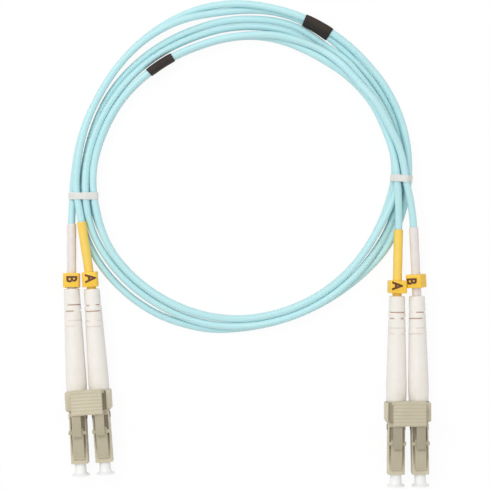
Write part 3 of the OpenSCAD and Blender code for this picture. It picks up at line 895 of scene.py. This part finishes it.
def marker_seat(plug):
    """A marker's place: Y runs up the sleeve from the marker's lower end."""
    seat = sleeve_seat(plug).moved(y=plug.marker.gap * MM)
    middle = seat.moved(y=plug.marker.l / 2 * MM).turned_about_z(plug.marker.yaw)
    return middle.moved(y=-plug.marker.l / 2 * MM).turned_about_y(plug.marker.turn)


def make_marker(plug):
    """A marker ring: rounded squares outside and circles inside, joined over both ends."""
    sizes = cord_sizes()
    long, edge = plug.marker.l * MM, 0.15 * MM
    bore = sizes.sleeve_d / 2 + 0.08 * MM
    wide, corner = plug.marker.w * MM, sizes.marker_corner
    inner = bore * unit(rounded_rectangle(wide, wide, corner, 8))
    drawn_in = [(0, edge), (edge * 0.3, edge * 0.3), (edge, 0)]
    stations = drawn_in + [(long - y, i) for y, i in reversed(drawn_in)]
    rings = [
        ring_at(rounded_rectangle(wide - 2 * i, wide - 2 * i, corner - i, 8), y)
        for y, i in stations
    ]
    rings += [ring_at(inner, long), ring_at(inner, 0)]
    shape = seated(skin(np.array(rings), loop=True), marker_seat(plug))
    node = plug.name + "_marker"
    add_piece(node + "_ring", shape, node, "yellow_marker", [node])


def make_letter(plug):
    """A polarity letter as a thin raised print on the marker's flat, its top pointing to the right."""
    curve = bpy.data.curves.new("letter", "FONT")
    curve.body = plug.marker.letter
    curve.size = 1
    curve.offset = 0.035  # bolder than the font
    curve.extrude = 0.02
    curve.resolution_u = 6
    writing = linked("letter", curve)
    mesh = shown_mesh(writing)
    bpy.data.objects.remove(writing)
    flat = points_of(mesh)
    low, high = flat.min(0), flat.max(0)
    flat = (flat - (low + high) / 2) * cord_sizes().letter_h / (high[1] - low[1])
    raised = plug.marker.w * MM / 2 + np.sign(flat[:, 2]) * LETTER_T / 2 * MM
    aside, up = plug.marker.letter_at
    middle = (plug.marker.l / 2 + up) * MM
    local = np.stack([aside * MM + flat[:, 1], middle - LETTER_NARROW * flat[:, 0], raised], -1)
    shape = seated((local, [list(p.vertices) for p in mesh.polygons]), marker_seat(plug))
    node = plug.name + "_marker"
    add_piece(node + "_letter", shape, node, "yellow_marker", finish="marker_ink")


def hull_outline(centres, radius, columns):
    """Outline of a strap pulled tight round some circles: at each angle, the furthest circle's rim."""
    angle = np.linspace(0, 2 * np.pi, 720, endpoint=False)
    normal = np.stack([np.cos(angle), np.sin(angle)], -1)
    rim = centres[np.argmax(normal @ centres.T, axis=1)] + radius * normal
    closed = np.vstack([rim, rim[:1]])
    s = distances(closed)
    at = np.linspace(0, s[-1], columns, endpoint=False)
    points = np.stack([np.interp(at, s, closed[:, 0]), np.interp(at, s, closed[:, 1])], -1)
    ahead = np.roll(points, -1, 0) - np.roll(points, 1, 0)
    outward = unit(np.stack([ahead[:, 1], -ahead[:, 0]], -1))
    return points, outward


def strap(points, outward, width, thick, first_lift, loop):
    """A flat strap: its outline (inner line, outward way) with a rounded cross-section carried round it."""
    section = rounded_rectangle(width, thick, thick * 0.45, 4)
    wobble = 1 + 0.03 * np.sin(np.linspace(0, 6 * np.pi, len(points)))
    lift = (thick / 2 + first_lift + section[None, :, 1]) * np.ones((len(points), 1))
    flat = points[:, None] + outward[:, None] * lift[:, :, None]
    along = section[None, :, 0] * wobble[:, None]
    return skin(np.stack([flat[:, :, 0], along, flat[:, :, 1]], -1), loop=loop)


def make_tie(name):
    """A white tie: a strap pulled tight round the bundle, with a second lap over part of it."""
    tie, sizes = TIES[name], cord_sizes()
    # Each tie also holds both cords where they leave the coil for their plugs
    if name == "left_tie":
        leads = [MM * np.array(LEAD_ROUTES[n][1]) for n in ("left_a", "left_b")]
    else:
        leads = [coil_end(-1), coil_end(1)]
    passes = [coil_point(t, side)[0] for t in tie.passes for side in (-1, 1)]
    held = np.array(passes + leads)
    middle = coil_point(tie.passes[0], -1)[0]
    a = np.radians(tie.turn)
    seat = Seat((middle[0], tie.y * MM, 0), (np.cos(a), np.sin(a), 0), (-np.sin(a), np.cos(a), 0))
    centres = np.stack([held[:, 0] - middle[0], held[:, 2]], -1)
    r = sizes.cord_d / 2 + 0.02 * MM
    points, outward = hull_outline(centres, r, 120)
    whole = strap(points, outward, sizes.tie_w, sizes.tie_t, 0, True)
    start, count = tie.lap
    lap = (start + np.arange(count)) % len(points)
    over = strap(
        points[lap], outward[lap], sizes.tie_w * 0.92, sizes.tie_t * 0.6, sizes.tie_t * 0.97, False
    )
    add_piece(name + "_strap", seated(merged(whole, over), seat), "cord", "white_tie", [name])


def coil_end(side):
    """The coil's last point, a cord's diameter straight on from its last angle."""
    ends = coil_point([COIL_TO - 0.5, COIL_TO, COIL_TO + 0.5], side)
    return ends[1] + cord_sizes().cord_d * unit(ends[2] - ends[0])


def make_band(name):
    """A black band: a pinched capsule round both cords, carried along the coil, with an open bore."""
    middle, long = BANDS[name]
    sizes = cord_sizes()
    radius = np.linalg.norm(coil_point(middle, 0)[0][:2] / MM - COIL_MIDDLE)
    half = np.degrees(long / 2 / radius)
    turn = np.radians(np.linspace(-90, 90, 13))
    gap = np.linspace(0, 1, 9)[1:-1]
    arc, flat = np.ones(len(turn)), np.ones(len(gap))
    weight = np.concatenate([arc, 1 - gap, 0 * arc, gap])
    swing = np.concatenate([turn, np.pi / 2 * flat, turn + np.pi, 1.5 * np.pi * flat])
    pinch = np.concatenate([0 * arc, np.sin(gap * np.pi), 0 * arc, np.sin(gap * np.pi)]) ** 2

    def section(angle, r, dip):
        """The capsule at one angle on the coil: r about each cord, drawn in by dip between them."""
        a, b = coil_point(angle, -1)[0], coil_point(angle, 1)[0]
        u = unit(b - a)
        t = np.radians(angle)
        v = np.cross(u, [np.cos(t), -np.sin(t), 0])
        reach = r - dip * pinch
        return (
            a + weight[:, None] * (b - a)
            + (reach * np.cos(swing))[:, None] * u
            + (reach * np.sin(swing))[:, None] * v
        )

    steps = np.linspace(-1, 1, 9)
    angles = middle + half * steps
    inner_r = sizes.cord_d / 2 + 0.02 * MM
    outer_r = inner_r + sizes.band_wall
    inset = np.where(np.abs(steps) == 1, 0.07 * MM, 0)
    rings = [section(t, outer_r - i, 0.16 * MM) for t, i in zip(angles, inset)]
    rings += [section(t, inner_r, 0) for t in angles[::-1]]
    add_piece(name + "_wrap", skin(np.array(rings), loop=True), "cord", "black_band", [name])


def boot_profile():
    """A boot's outline round its wall, as radius and distance from its front in millimetres: a rounded
    front, a straight taper with two faint rings, a rounded end at the cord, and the bore."""
    sizes = plug_sizes()
    long, end_r, wide_r = sizes.boot_l / MM, sizes.boot_end_d / MM / 2, sizes.boot_d / MM / 2
    slits = [long - row for row, _ in SLIT_ROWS]
    edges = [-SLIT_W / 2 - SLIT_EDGE, -SLIT_W / 2, SLIT_W / 2, SLIT_W / 2 + SLIT_EDGE]
    stations = [y + edge for y in slits for edge in edges] + list(np.linspace(4.2, 17, 9))
    stations = np.array(sorted(stations + [18.4, 20.35, 22.4, 24.1, 25.3, 26.4]))
    taper = wide_r + (end_r - wide_r) * (stations - 3.6) / (long - 3.6)
    rings = [np.clip(1 - ((stations - (long - m)) / 0.8) ** 2, 0, 1) for m in (5.0, 9.05)]
    front = [
        (2.05, 0), (2.4, 0.05), (2.52, 0.15), (2.58, 0.4), (2.62, 0.8), (2.65, 1.5), (2.67, 2.2),
        (2.69, 3.0), (wide_r, 3.6),
    ]
    back = [
        (end_r + 0.02, long - 0.45), (end_r - 0.02, long - 0.2), (end_r - 0.09, long - 0.06),
        (end_r - 0.2, long),
    ]
    inside = [
        (1.6, long), (1.55, long - 0.1), (1.55, long - 2), (1.0, long - 2.1), (1.0, 8.2),
        (1.95, 8), (1.95, 0),
    ]
    return np.vstack([front, np.stack([taper + 0.05 * sum(rings), stations], -1), back, inside])


def make_boot(plug):
    """A boot: a tapering tube turned about the plug's axis, its wall cut by rows of flex slits.
    The radius is the profile's, less the slit's depth where the station and the angle fall in a slit."""
    sizes = plug_sizes()
    long, end_r = sizes.boot_l / MM, sizes.boot_end_d / MM / 2
    profile = boot_profile()
    angle = np.arange(BOOT_COLUMNS) * 360 / BOOT_COLUMNS
    depth = np.zeros((len(profile), BOOT_COLUMNS))
    for k, (row, deep) in enumerate(SLIT_ROWS):
        from_middle = (angle - plug.slit_turn - 90 * (k % 2) + 90) % 180 - 90
        in_arc = np.abs(from_middle) < SLIT_SPAN / 2
        in_row = np.abs(profile[:, 1] - (long - row)) < (SLIT_W + SLIT_EDGE) / 2
        in_row &= profile[:, 0] > end_r - 0.5
        depth += deep * in_row[:, None] * in_arc[None, :]
    r = profile[:, :1] - depth
    a = np.radians(angle)
    points = np.stack([r * np.cos(a), np.broadcast_to(profile[:, 1:], r.shape), r * np.sin(a)], -1)
    seat = plug_seat(plug).moved(y=boot_front(plug), z=sizes.axis_z)
    shape = seated(skin(MM * points, loop=True), seat)
    # Painted shade: inside the slits the colour turns towards the slit colour, more in the deeper rows
    slit_shade = np.clip(depth / 0.6, 0, 1).ravel()
    node = plug.name + "_boot"
    add_piece(node + "_skin", shape, "cord", "white_plastic", [node], "boot_plastic", hollow=slit_shade)


def body_outline(half, corner, dip, dip_half):
    """Rounded square whose top edge drops by dip over its middle; the same count of points for any dip."""
    turn = np.linspace(0, np.pi / 2, 5)
    turns = [turn + k * np.pi / 2 for k in range(4)]
    arcs = [corner * np.stack([np.cos(a), np.sin(a)], -1) for a in turns]
    m = half - corner
    middles = np.array([[m, m], [-m, m], [-m, -m], [m, -m]])
    notch = np.array([[dip_half, half], [dip_half, half - dip], [-dip_half, half - dip], [-dip_half, half]])
    return np.vstack([arcs[0] + middles[0], notch, *(arcs[k] + middles[k] for k in (1, 2, 3))])


def make_housing(plug):
    """A plug body: rounded squares outside, with a trough for the latch, joined to the bores inside."""
    sizes = plug_sizes()
    half, long = sizes.body_w / MM / 2, sizes.body_l / MM
    corner, edge, dip_half = 0.35, 0.18, 1.85
    # Distance from the front, how far the outline is drawn in there, and the trough's depth
    outer = [
        (0, edge, 0), (0.3 * edge, 0.3 * edge, 0), (edge, 0, 0), (2.0, 0, 0), (7.4, 0, 0.5),
        (12.38, 0, 0.5), (12.4, 0, 0),
        (long - edge, 0, 0), (long - 0.3 * edge, 0.3 * edge, 0), (long, edge, 0),
    ]
    rings = [ring_at(body_outline(half - i, corner - i, dip, dip_half), y) for y, i, dip in outer]
    spread = unit(body_outline(half, corner, 0, dip_half))
    # Distance from the front and radius of the bores
    bores = [
        (long, 1.8), (12.6, 1.8), (12.6, 1.4), (5.0, 1.4), (5.0, 0.75), (4.4, 0.75), (4.4, 1.65),
        (0, 1.65),
    ]
    rings += [ring_at(r * spread, y) for y, r in bores]
    body = skin(np.array(rings), loop=True)
    ears = [
        seated(bar(0.4, 1.7, 1.5, 0.12), Seat((side * (half - 0.02), 11.55, 0)))
        for side in (-1, 1)
    ]
    local, faces = merged(body, *ears)
    # Painted shade: the trough's floor and walls turn partway, and the side ears mostly, to the recess colour
    in_trough = (np.abs(local[:, 0]) < dip_half + 0.01) & (local[:, 1] > 7) & (local[:, 1] < 12.45)
    in_trough &= (local[:, 2] > 1.7) & (local[:, 2] < half - 0.4)
    shade_share = 0.45 * in_trough + 0.8 * (np.abs(local[:, 0]) > half + 0.01)
    shape = seated((MM * local, faces), plug_seat(plug).moved(z=sizes.axis_z))
    node = plug.name + "_housing"
    add_piece(node + "_skin", shape, "cord", "beige_plastic", [node], hollow=shade_share)


def make_latch(plug):
    """A latch: a root barrel, a sloping blade with round edges, and a lug on each side."""
    sizes = plug_sizes()
    seat = plug_seat(plug).moved(y=LATCH_Y * MM, z=LATCH_Z * MM)
    slope = seat.turned_about_x(LATCH_SLOPE)
    w, t = sizes.latch_w, sizes.latch_t
    across = Seat(seat.put([-w / 2, 0, 0]), -seat.axes[1], seat.axes[0])
    end = 0.07 * MM
    root = [(0.33 * MM, 0), (0.4 * MM, end), (0.4 * MM, w - end), (0.33 * MM, w)]
    barrel = seated(lathe(root, 24), across)
    low = LATCH_UNDER * MM
    blade = seated(bar(w, t, sizes.latch_l, 0.12 * MM), slope.moved(z=t / 2 - low))
    plate = seated(
        bar(w - 0.1 * MM, 0.2 * MM, PLATE_L * MM, 0.08 * MM), slope.moved(y=0.25 * MM, z=t - low)
    )
    lug_w, lug_t, lug_l = LUG
    lugs = seated(bar(lug_w * MM, lug_t * MM, lug_l * MM, 0.15 * MM), slope.moved(y=LUG_Y * MM))
    node = plug.name + "_latch"
    # Painted shade: the latch takes the darker, shaded copy of the beige
    add_piece(node + "_skin", merged(barrel, blade, plate, lugs), node, "latch_plastic", [node])


def make_cap(plug):
    """A dust cap: a neck that flares into a round flange, turned about the plug's axis, blind bore behind."""
    sizes = plug_sizes()
    rim, out = sizes.cap_d / MM / 2, sizes.cap_out / MM
    # Radius, and distance from the plug's front
    profile = [
        (1.2, -out + 0.06), (rim - 0.25, -out), (rim - 0.07, -out + 0.06), (rim, -out + 0.2),
        (rim, -out + 0.42), (rim - 0.1, -out + 0.55), (rim - 0.5, -out + 0.66), (1.62, -out + 0.95),
        (1.52, -out + 1.4), (1.5, -out + 2), (1.5, 0), (1.5, 3.5), (1.4, 3.75), (1.25, 3.8),
        (0.8, 3.8), (0.7, 3.7), (0.7, -1.4), (0.6, -1.5),
    ]
    shape = seated(lathe(MM * np.array(profile), 56), plug_seat(plug).moved(z=sizes.axis_z))
    node = plug.name + "_dust_cap"
    add_piece(node + "_skin", shape, node, "cap_plastic", [node])


def make_clip(pair):
    """A clip: a rounded block with a hinge post, cut by a bore and a boot pocket for each plug and by
    a groove beside the thumb pad."""
    sizes = plug_sizes()
    seat = pair_seat(pair)
    clip_y, top = CLIP_Y * MM, sizes.clip_h
    block = bar(sizes.clip_w, top, sizes.clip_l, 0.45 * MM, 0.7 * MM)
    bore = bar(sizes.body_w + 0.3 * MM, sizes.body_w + 0.2 * MM, sizes.clip_l + 2 * MM, 0.2 * MM)
    pocket = lathe([(POCKET_R * MM, 0), (POCKET_R * MM, 5 * MM)], 40)
    pocket_y = clip_y + sizes.clip_l - POCKET_L * MM
    cutters = []
    for own in (plug_seat(p).moved(z=sizes.axis_z) for p in PLUGS if p.pair == pair):
        cutters.append(seated(bore, own.moved(y=clip_y - 1 * MM)))
        cutters.append(seated(pocket, own.moved(y=pocket_y)))
    middle, wide, shade_share = PAIRS[pair].groove
    bottom = top - GROOVE_DEPTH * MM
    groove = bar(wide * MM, 1 * MM, sizes.clip_l - 0.35 * MM, 0.1 * MM)
    start = seat.moved(x=middle * MM, y=clip_y + 0.2 * MM, z=bottom + 0.5 * MM)
    cutters.append(seated(groove, start))
    name = pair + "_clip"
    mesh = carved(name, seated(block, seat.moved(y=clip_y, z=top / 2)), cutters)
    # Painted shade: the groove's floor turns darker by the pair's share, for the pad's shadow
    x, _, z = ((points_of(mesh) - seat.origin) @ seat.axes.T).T
    in_groove = (np.abs(x / MM - middle) < wide / 2 + 0.02) & (np.abs(z - bottom) < 0.12 * MM)
    keep(mesh, "hollow", shade_share * in_groove)
    place(name + "_skin", mesh, "cord", "beige_plastic", [name])
    post = bar(POST_W * MM, POST_T * MM, TRIGGER_Z * MM + 0.4 * MM - top, 0.2 * MM)
    upright = Seat(seat.put([0, TRIGGER_Y * MM, top - 0.5 * MM]), seat.axes[0], UP)
    add_piece(name + "_post", seated(post, upright), "cord", "beige_plastic")


def ridged_pad(width, long, thick, ridges, height):
    """Thumb pad: a section with a wavy top, carried along X and drawn in at both ends."""
    y = np.linspace(0, 1, ridges * 10 + 1)
    top = thick - height * 0.5 * (1 + np.cos(y * ridges * 2 * np.pi)) * (y > 0.02) * (y < 0.93)
    upper = np.stack([y * long, top], -1)
    corner = np.array([[long, thick * 0.5], [long - 0.2 * MM, 0.1 * MM], [long - 0.3 * MM, 0]])
    lower = np.array([[0.3 * MM, 0], [0.2 * MM, 0.1 * MM], [0, thick * 0.5]])
    section = np.vstack([upper, corner, lower])
    middle = np.array([long / 2, thick / 2])
    stations = [(-1, 0.5), (-0.985, 0.2), (-0.95, 0), (0.95, 0), (0.985, 0.2), (1, 0.5)]
    rings = []
    for s, inset in stations:
        shrink = 1 - 2 * inset * 0.2 * MM / np.array([long, thick])
        ring = middle + (section - middle) * shrink
        rings.append(np.stack([np.full(len(ring), s * width / 2), ring[:, 0], ring[:, 1]], -1))
    return skin(np.array(rings))


def make_trigger(pair):
    """A release trigger: ridged pad, hinge barrel behind it and two arms over the latches."""
    seat = pair_seat(pair)
    own = PAIRS[pair]
    wide, aside, r = own.pad_w * MM, own.pad_x * MM, HINGE_R * MM
    hinge_y, hinge_z = TRIGGER_Y * MM, TRIGGER_Z * MM
    pad = ridged_pad(wide, hinge_y + r - PAD_Y * MM, PAD_T * MM, RIDGES, RIDGE_H * MM)
    heel = bar(wide - 0.1 * MM, 2 * r, 2 * r, 0.15 * MM)
    barrel = lathe([(r, 0), (r, wide)], 24)
    across = Seat(seat.put([aside - wide / 2, hinge_y, hinge_z]), -seat.axes[1], seat.axes[0])
    name = pair + "_trigger"
    shape = merged(
        seated(pad, seat.moved(x=aside, y=PAD_Y * MM, z=PAD_Z * MM)),
        seated(heel, seat.moved(x=aside, y=hinge_y - r, z=hinge_z + r)),
        seated(barrel, across),
    )
    # Painted shade: the pad darkens by half the pair's shade
    add_piece(name + "_pad", shape, name, "beige_plastic", [name], hollow=own.shade / 2)
    arm = bar(plug_sizes().arm_w, ARM_T * MM, (ARM_ROOT_Y - own.arm_y) * MM, 0.12 * MM)
    tips = [
        seat.moved(x=(side * ARM_X + own.arm_x) * MM, y=own.arm_y * MM, z=ARM_Z * MM)
        for side in (-1, 1)
    ]
    shape = merged(*(seated(arm, tip.turned_about_x(ARM_SLOPE)) for tip in tips))
    # Painted shade: the arms darken by the pair's whole shade, on top of the latch plastic's darker copy of
    # the beige
    add_piece(name + "_arms", shape, name, "latch_plastic", hollow=own.shade)


def finish_node(name, slot):
    """Gives a CAD node its finish and leaves its shape alone."""
    node = frame["nodes"][name]
    node.data.materials.clear()
    node.data.materials.append(material(slot))


# ---------------------------------------------------------------- studio


def seen_directly(graph):
    """One for what the camera, a mirror or glass sees, and zero for light that falls on the part."""
    path = graph.add("LightPath")
    rays = [path.outputs["Is " + kind + " Ray"] for kind in ("Camera", "Glossy", "Transmission")]
    both = graph.add("Math", {0: rays[0], 1: rays[1]}, operation="MAXIMUM").outputs[0]
    return graph.add("Math", {0: both, 1: rays[2]}, operation="MAXIMUM").outputs[0]


def make_floor(depth):
    """A wide white floor that keeps the part's shadow."""
    corners = [(-1, -1, 0), (1, -1, 0), (1, 1, 0), (-1, 1, 0)]
    mesh = bpy.data.meshes.new("floor")
    mesh.from_pydata((FLOOR_HALF * np.array(corners)).tolist(), [], [[0, 1, 2, 3]])
    graph = Graph(bpy.data.materials.new("floor"))
    graph.nodes.remove(graph.nodes["Principled BSDF"])
    bounce = graph.add("BsdfDiffuse", {"Color": (0.75, 0.75, 0.75, 1)})
    shade = graph.add("BsdfDiffuse", {"Color": (depth, depth, depth, 1)})
    white = graph.add("Emission", {"Strength": 1 - depth})
    seen = graph.add("AddShader", {0: shade.outputs[0], 1: white.outputs[0]})
    mixed = graph.add("MixShader", {0: seen_directly(graph), 1: bounce.outputs[0], 2: seen.outputs[0]})
    graph.fill(graph.nodes["Material Output"], {"Surface": mixed.outputs[0]})
    mesh.materials.append(graph.owner)
    linked("floor", mesh)


def make_world(strength):
    """An even dome of light whose own face is plain white."""
    world = bpy.data.worlds.new("dome")
    bpy.context.scene.world = world
    graph = Graph(world)
    power = graph.ranged(seen_directly(graph), 0, 1, strength, 1)
    graph.fill(graph.nodes["Background"], {"Color": (1, 1, 1, 1), "Strength": power})


# ---------------------------------------------------------------- operators


class BuildOperator:
    """What every building operator shares: an undo step, and making one thing after the other."""

    bl_options = {"REGISTER", "UNDO"}

    @staticmethod
    def build(things, *makers):
        """Runs each maker on each thing."""
        for thing in things:
            for make in makers:
                make(thing)
        return {"FINISHED"}


class PATCHCORD_OT_stage(BuildOperator, bpy.types.Operator):
    """Adds the camera, the white floor and the soft studio light"""

    bl_idname = "patchcord.stage"
    bl_label = "Stage"

    def execute(self, context):
        look = studio()
        scene = context.scene
        scene.view_settings.view_transform = "Standard"
        camera = linked("camera", bpy.data.cameras.new("camera"))
        camera.location = (look.camera_x, look.camera_y, look.camera_z)
        camera.data.lens = camera.data.sensor_width * look.camera_z / look.picture_w
        camera.data.clip_start, camera.data.clip_end = 0.01, 10
        scene.camera = camera
        make_floor(look.floor_depth)
        make_world(look.dome)
        key = linked("key", bpy.data.lights.new("key", "AREA"))
        key.data.energy = look.key
        key.data.size = KEY_SIZE
        key.location = KEY_PLACE
        aim = Vector(KEY_AIM) - key.location
        key.rotation_euler = aim.to_track_quat("-Z", "Y").to_euler()
        return {"FINISHED"}


class PATCHCORD_OT_cords(BuildOperator, bpy.types.Operator):
    """Adds the two jacketed cords, with their sleeves, markers, bands and ties"""

    bl_idname = "patchcord.cords"
    bl_label = "Cords"

    def execute(self, context):
        made = {name: make_cord(name, *route) for name, route in CORDS.items()}
        self.build(PLUGS, make_sleeve, make_marker, make_letter)
        self.build(BANDS, make_band)
        self.build(TIES, make_tie)
        for name, (piece, path) in made.items():
            left, right = CORDS[name][1:]
            parts = ("_sleeve_skin", "_marker_ring", "_marker_letter")
            pieces = [end + part for end in (left, right) for part in parts]
            if name == "cord_a":
                pieces += [b + "_wrap" for b in BANDS] + [t + "_strap" for t in TIES]
            mouth(plug_named(left))
        return {"FINISHED"}


class PATCHCORD_OT_boots(BuildOperator, bpy.types.Operator):
    """Adds the four strain relief boots"""

    bl_idname = "patchcord.boots"
    bl_label = "Boots"

    def execute(self, context):
        return self.build(PLUGS, make_boot)


class PATCHCORD_OT_plugs(BuildOperator, bpy.types.Operator):
    """Adds the four plug bodies with their latches"""

    bl_idname = "patchcord.plugs"
    bl_label = "Plugs"

    def execute(self, context):
        return self.build(PLUGS, make_housing, make_latch)


class PATCHCORD_OT_caps(BuildOperator, bpy.types.Operator):
    """Adds the four dust caps"""

    bl_idname = "patchcord.caps"
    bl_label = "Dust Caps"

    def execute(self, context):
        return self.build(PLUGS, make_cap)


class PATCHCORD_OT_clips(BuildOperator, bpy.types.Operator):
    """Adds the two clips and their release triggers"""

    bl_idname = "patchcord.clips"
    bl_label = "Clips and Triggers"

    def execute(self, context):
        return self.build(PAIRS, make_clip, make_trigger)


class PATCHCORD_OT_inner_parts(BuildOperator, bpy.types.Operator):
    """Gives the ferrules, springs, crimp parts and fibres their finishes"""

    bl_idname = "patchcord.inner_parts"
    bl_label = "Inner Parts"

    def execute(self, context):
        for plug in PLUGS:
            for part, slot in INNER_NODES.items():
                finish_node(plug.name + "_" + part, slot)
        finish_node("fibres", "glass_fibre")
        return {"FINISHED"}


OPERATORS = (
    PATCHCORD_OT_stage,
    PATCHCORD_OT_cords,
    PATCHCORD_OT_boots,
    PATCHCORD_OT_plugs,
    PATCHCORD_OT_caps,
    PATCHCORD_OT_clips,
    PATCHCORD_OT_inner_parts,
)


class PATCHCORD_PT_panel(bpy.types.Panel):
    """Lists the patch cord's builders and sizes"""

    bl_idname = "PATCHCORD_PT_panel"
    bl_label = "Patch Cord"
    bl_space_type = "VIEW_3D"
    bl_region_type = "UI"
    bl_category = "Patch Cord"

    def draw(self, context):
        for operator in OPERATORS:
            self.layout.operator(operator.bl_idname)
        for name, group in GROUPS.items():
            values = getattr(context.scene, name)
            box = self.layout.box()
            for key in group.__annotations__:
                box.prop(values, key)


CLASSES = (*GROUPS.values(), *OPERATORS, PATCHCORD_PT_panel)


def register():
    for cls in CLASSES:
        bpy.utils.register_class(cls)
    for name, group in GROUPS.items():
        setattr(bpy.types.Scene, name, PointerProperty(type=group))


def unregister():
    for name in GROUPS:
        delattr(bpy.types.Scene, name)
    for cls in reversed(CLASSES):
        bpy.utils.unregister_class(cls)


def main():
    register()
    bpy.ops.patchcord.stage()
    bpy.ops.patchcord.cords()
    bpy.ops.patchcord.boots()
    bpy.ops.patchcord.plugs()
    bpy.ops.patchcord.caps()
    bpy.ops.patchcord.clips()
    bpy.ops.patchcord.inner_parts()


if __name__ == "__main__":
    main()
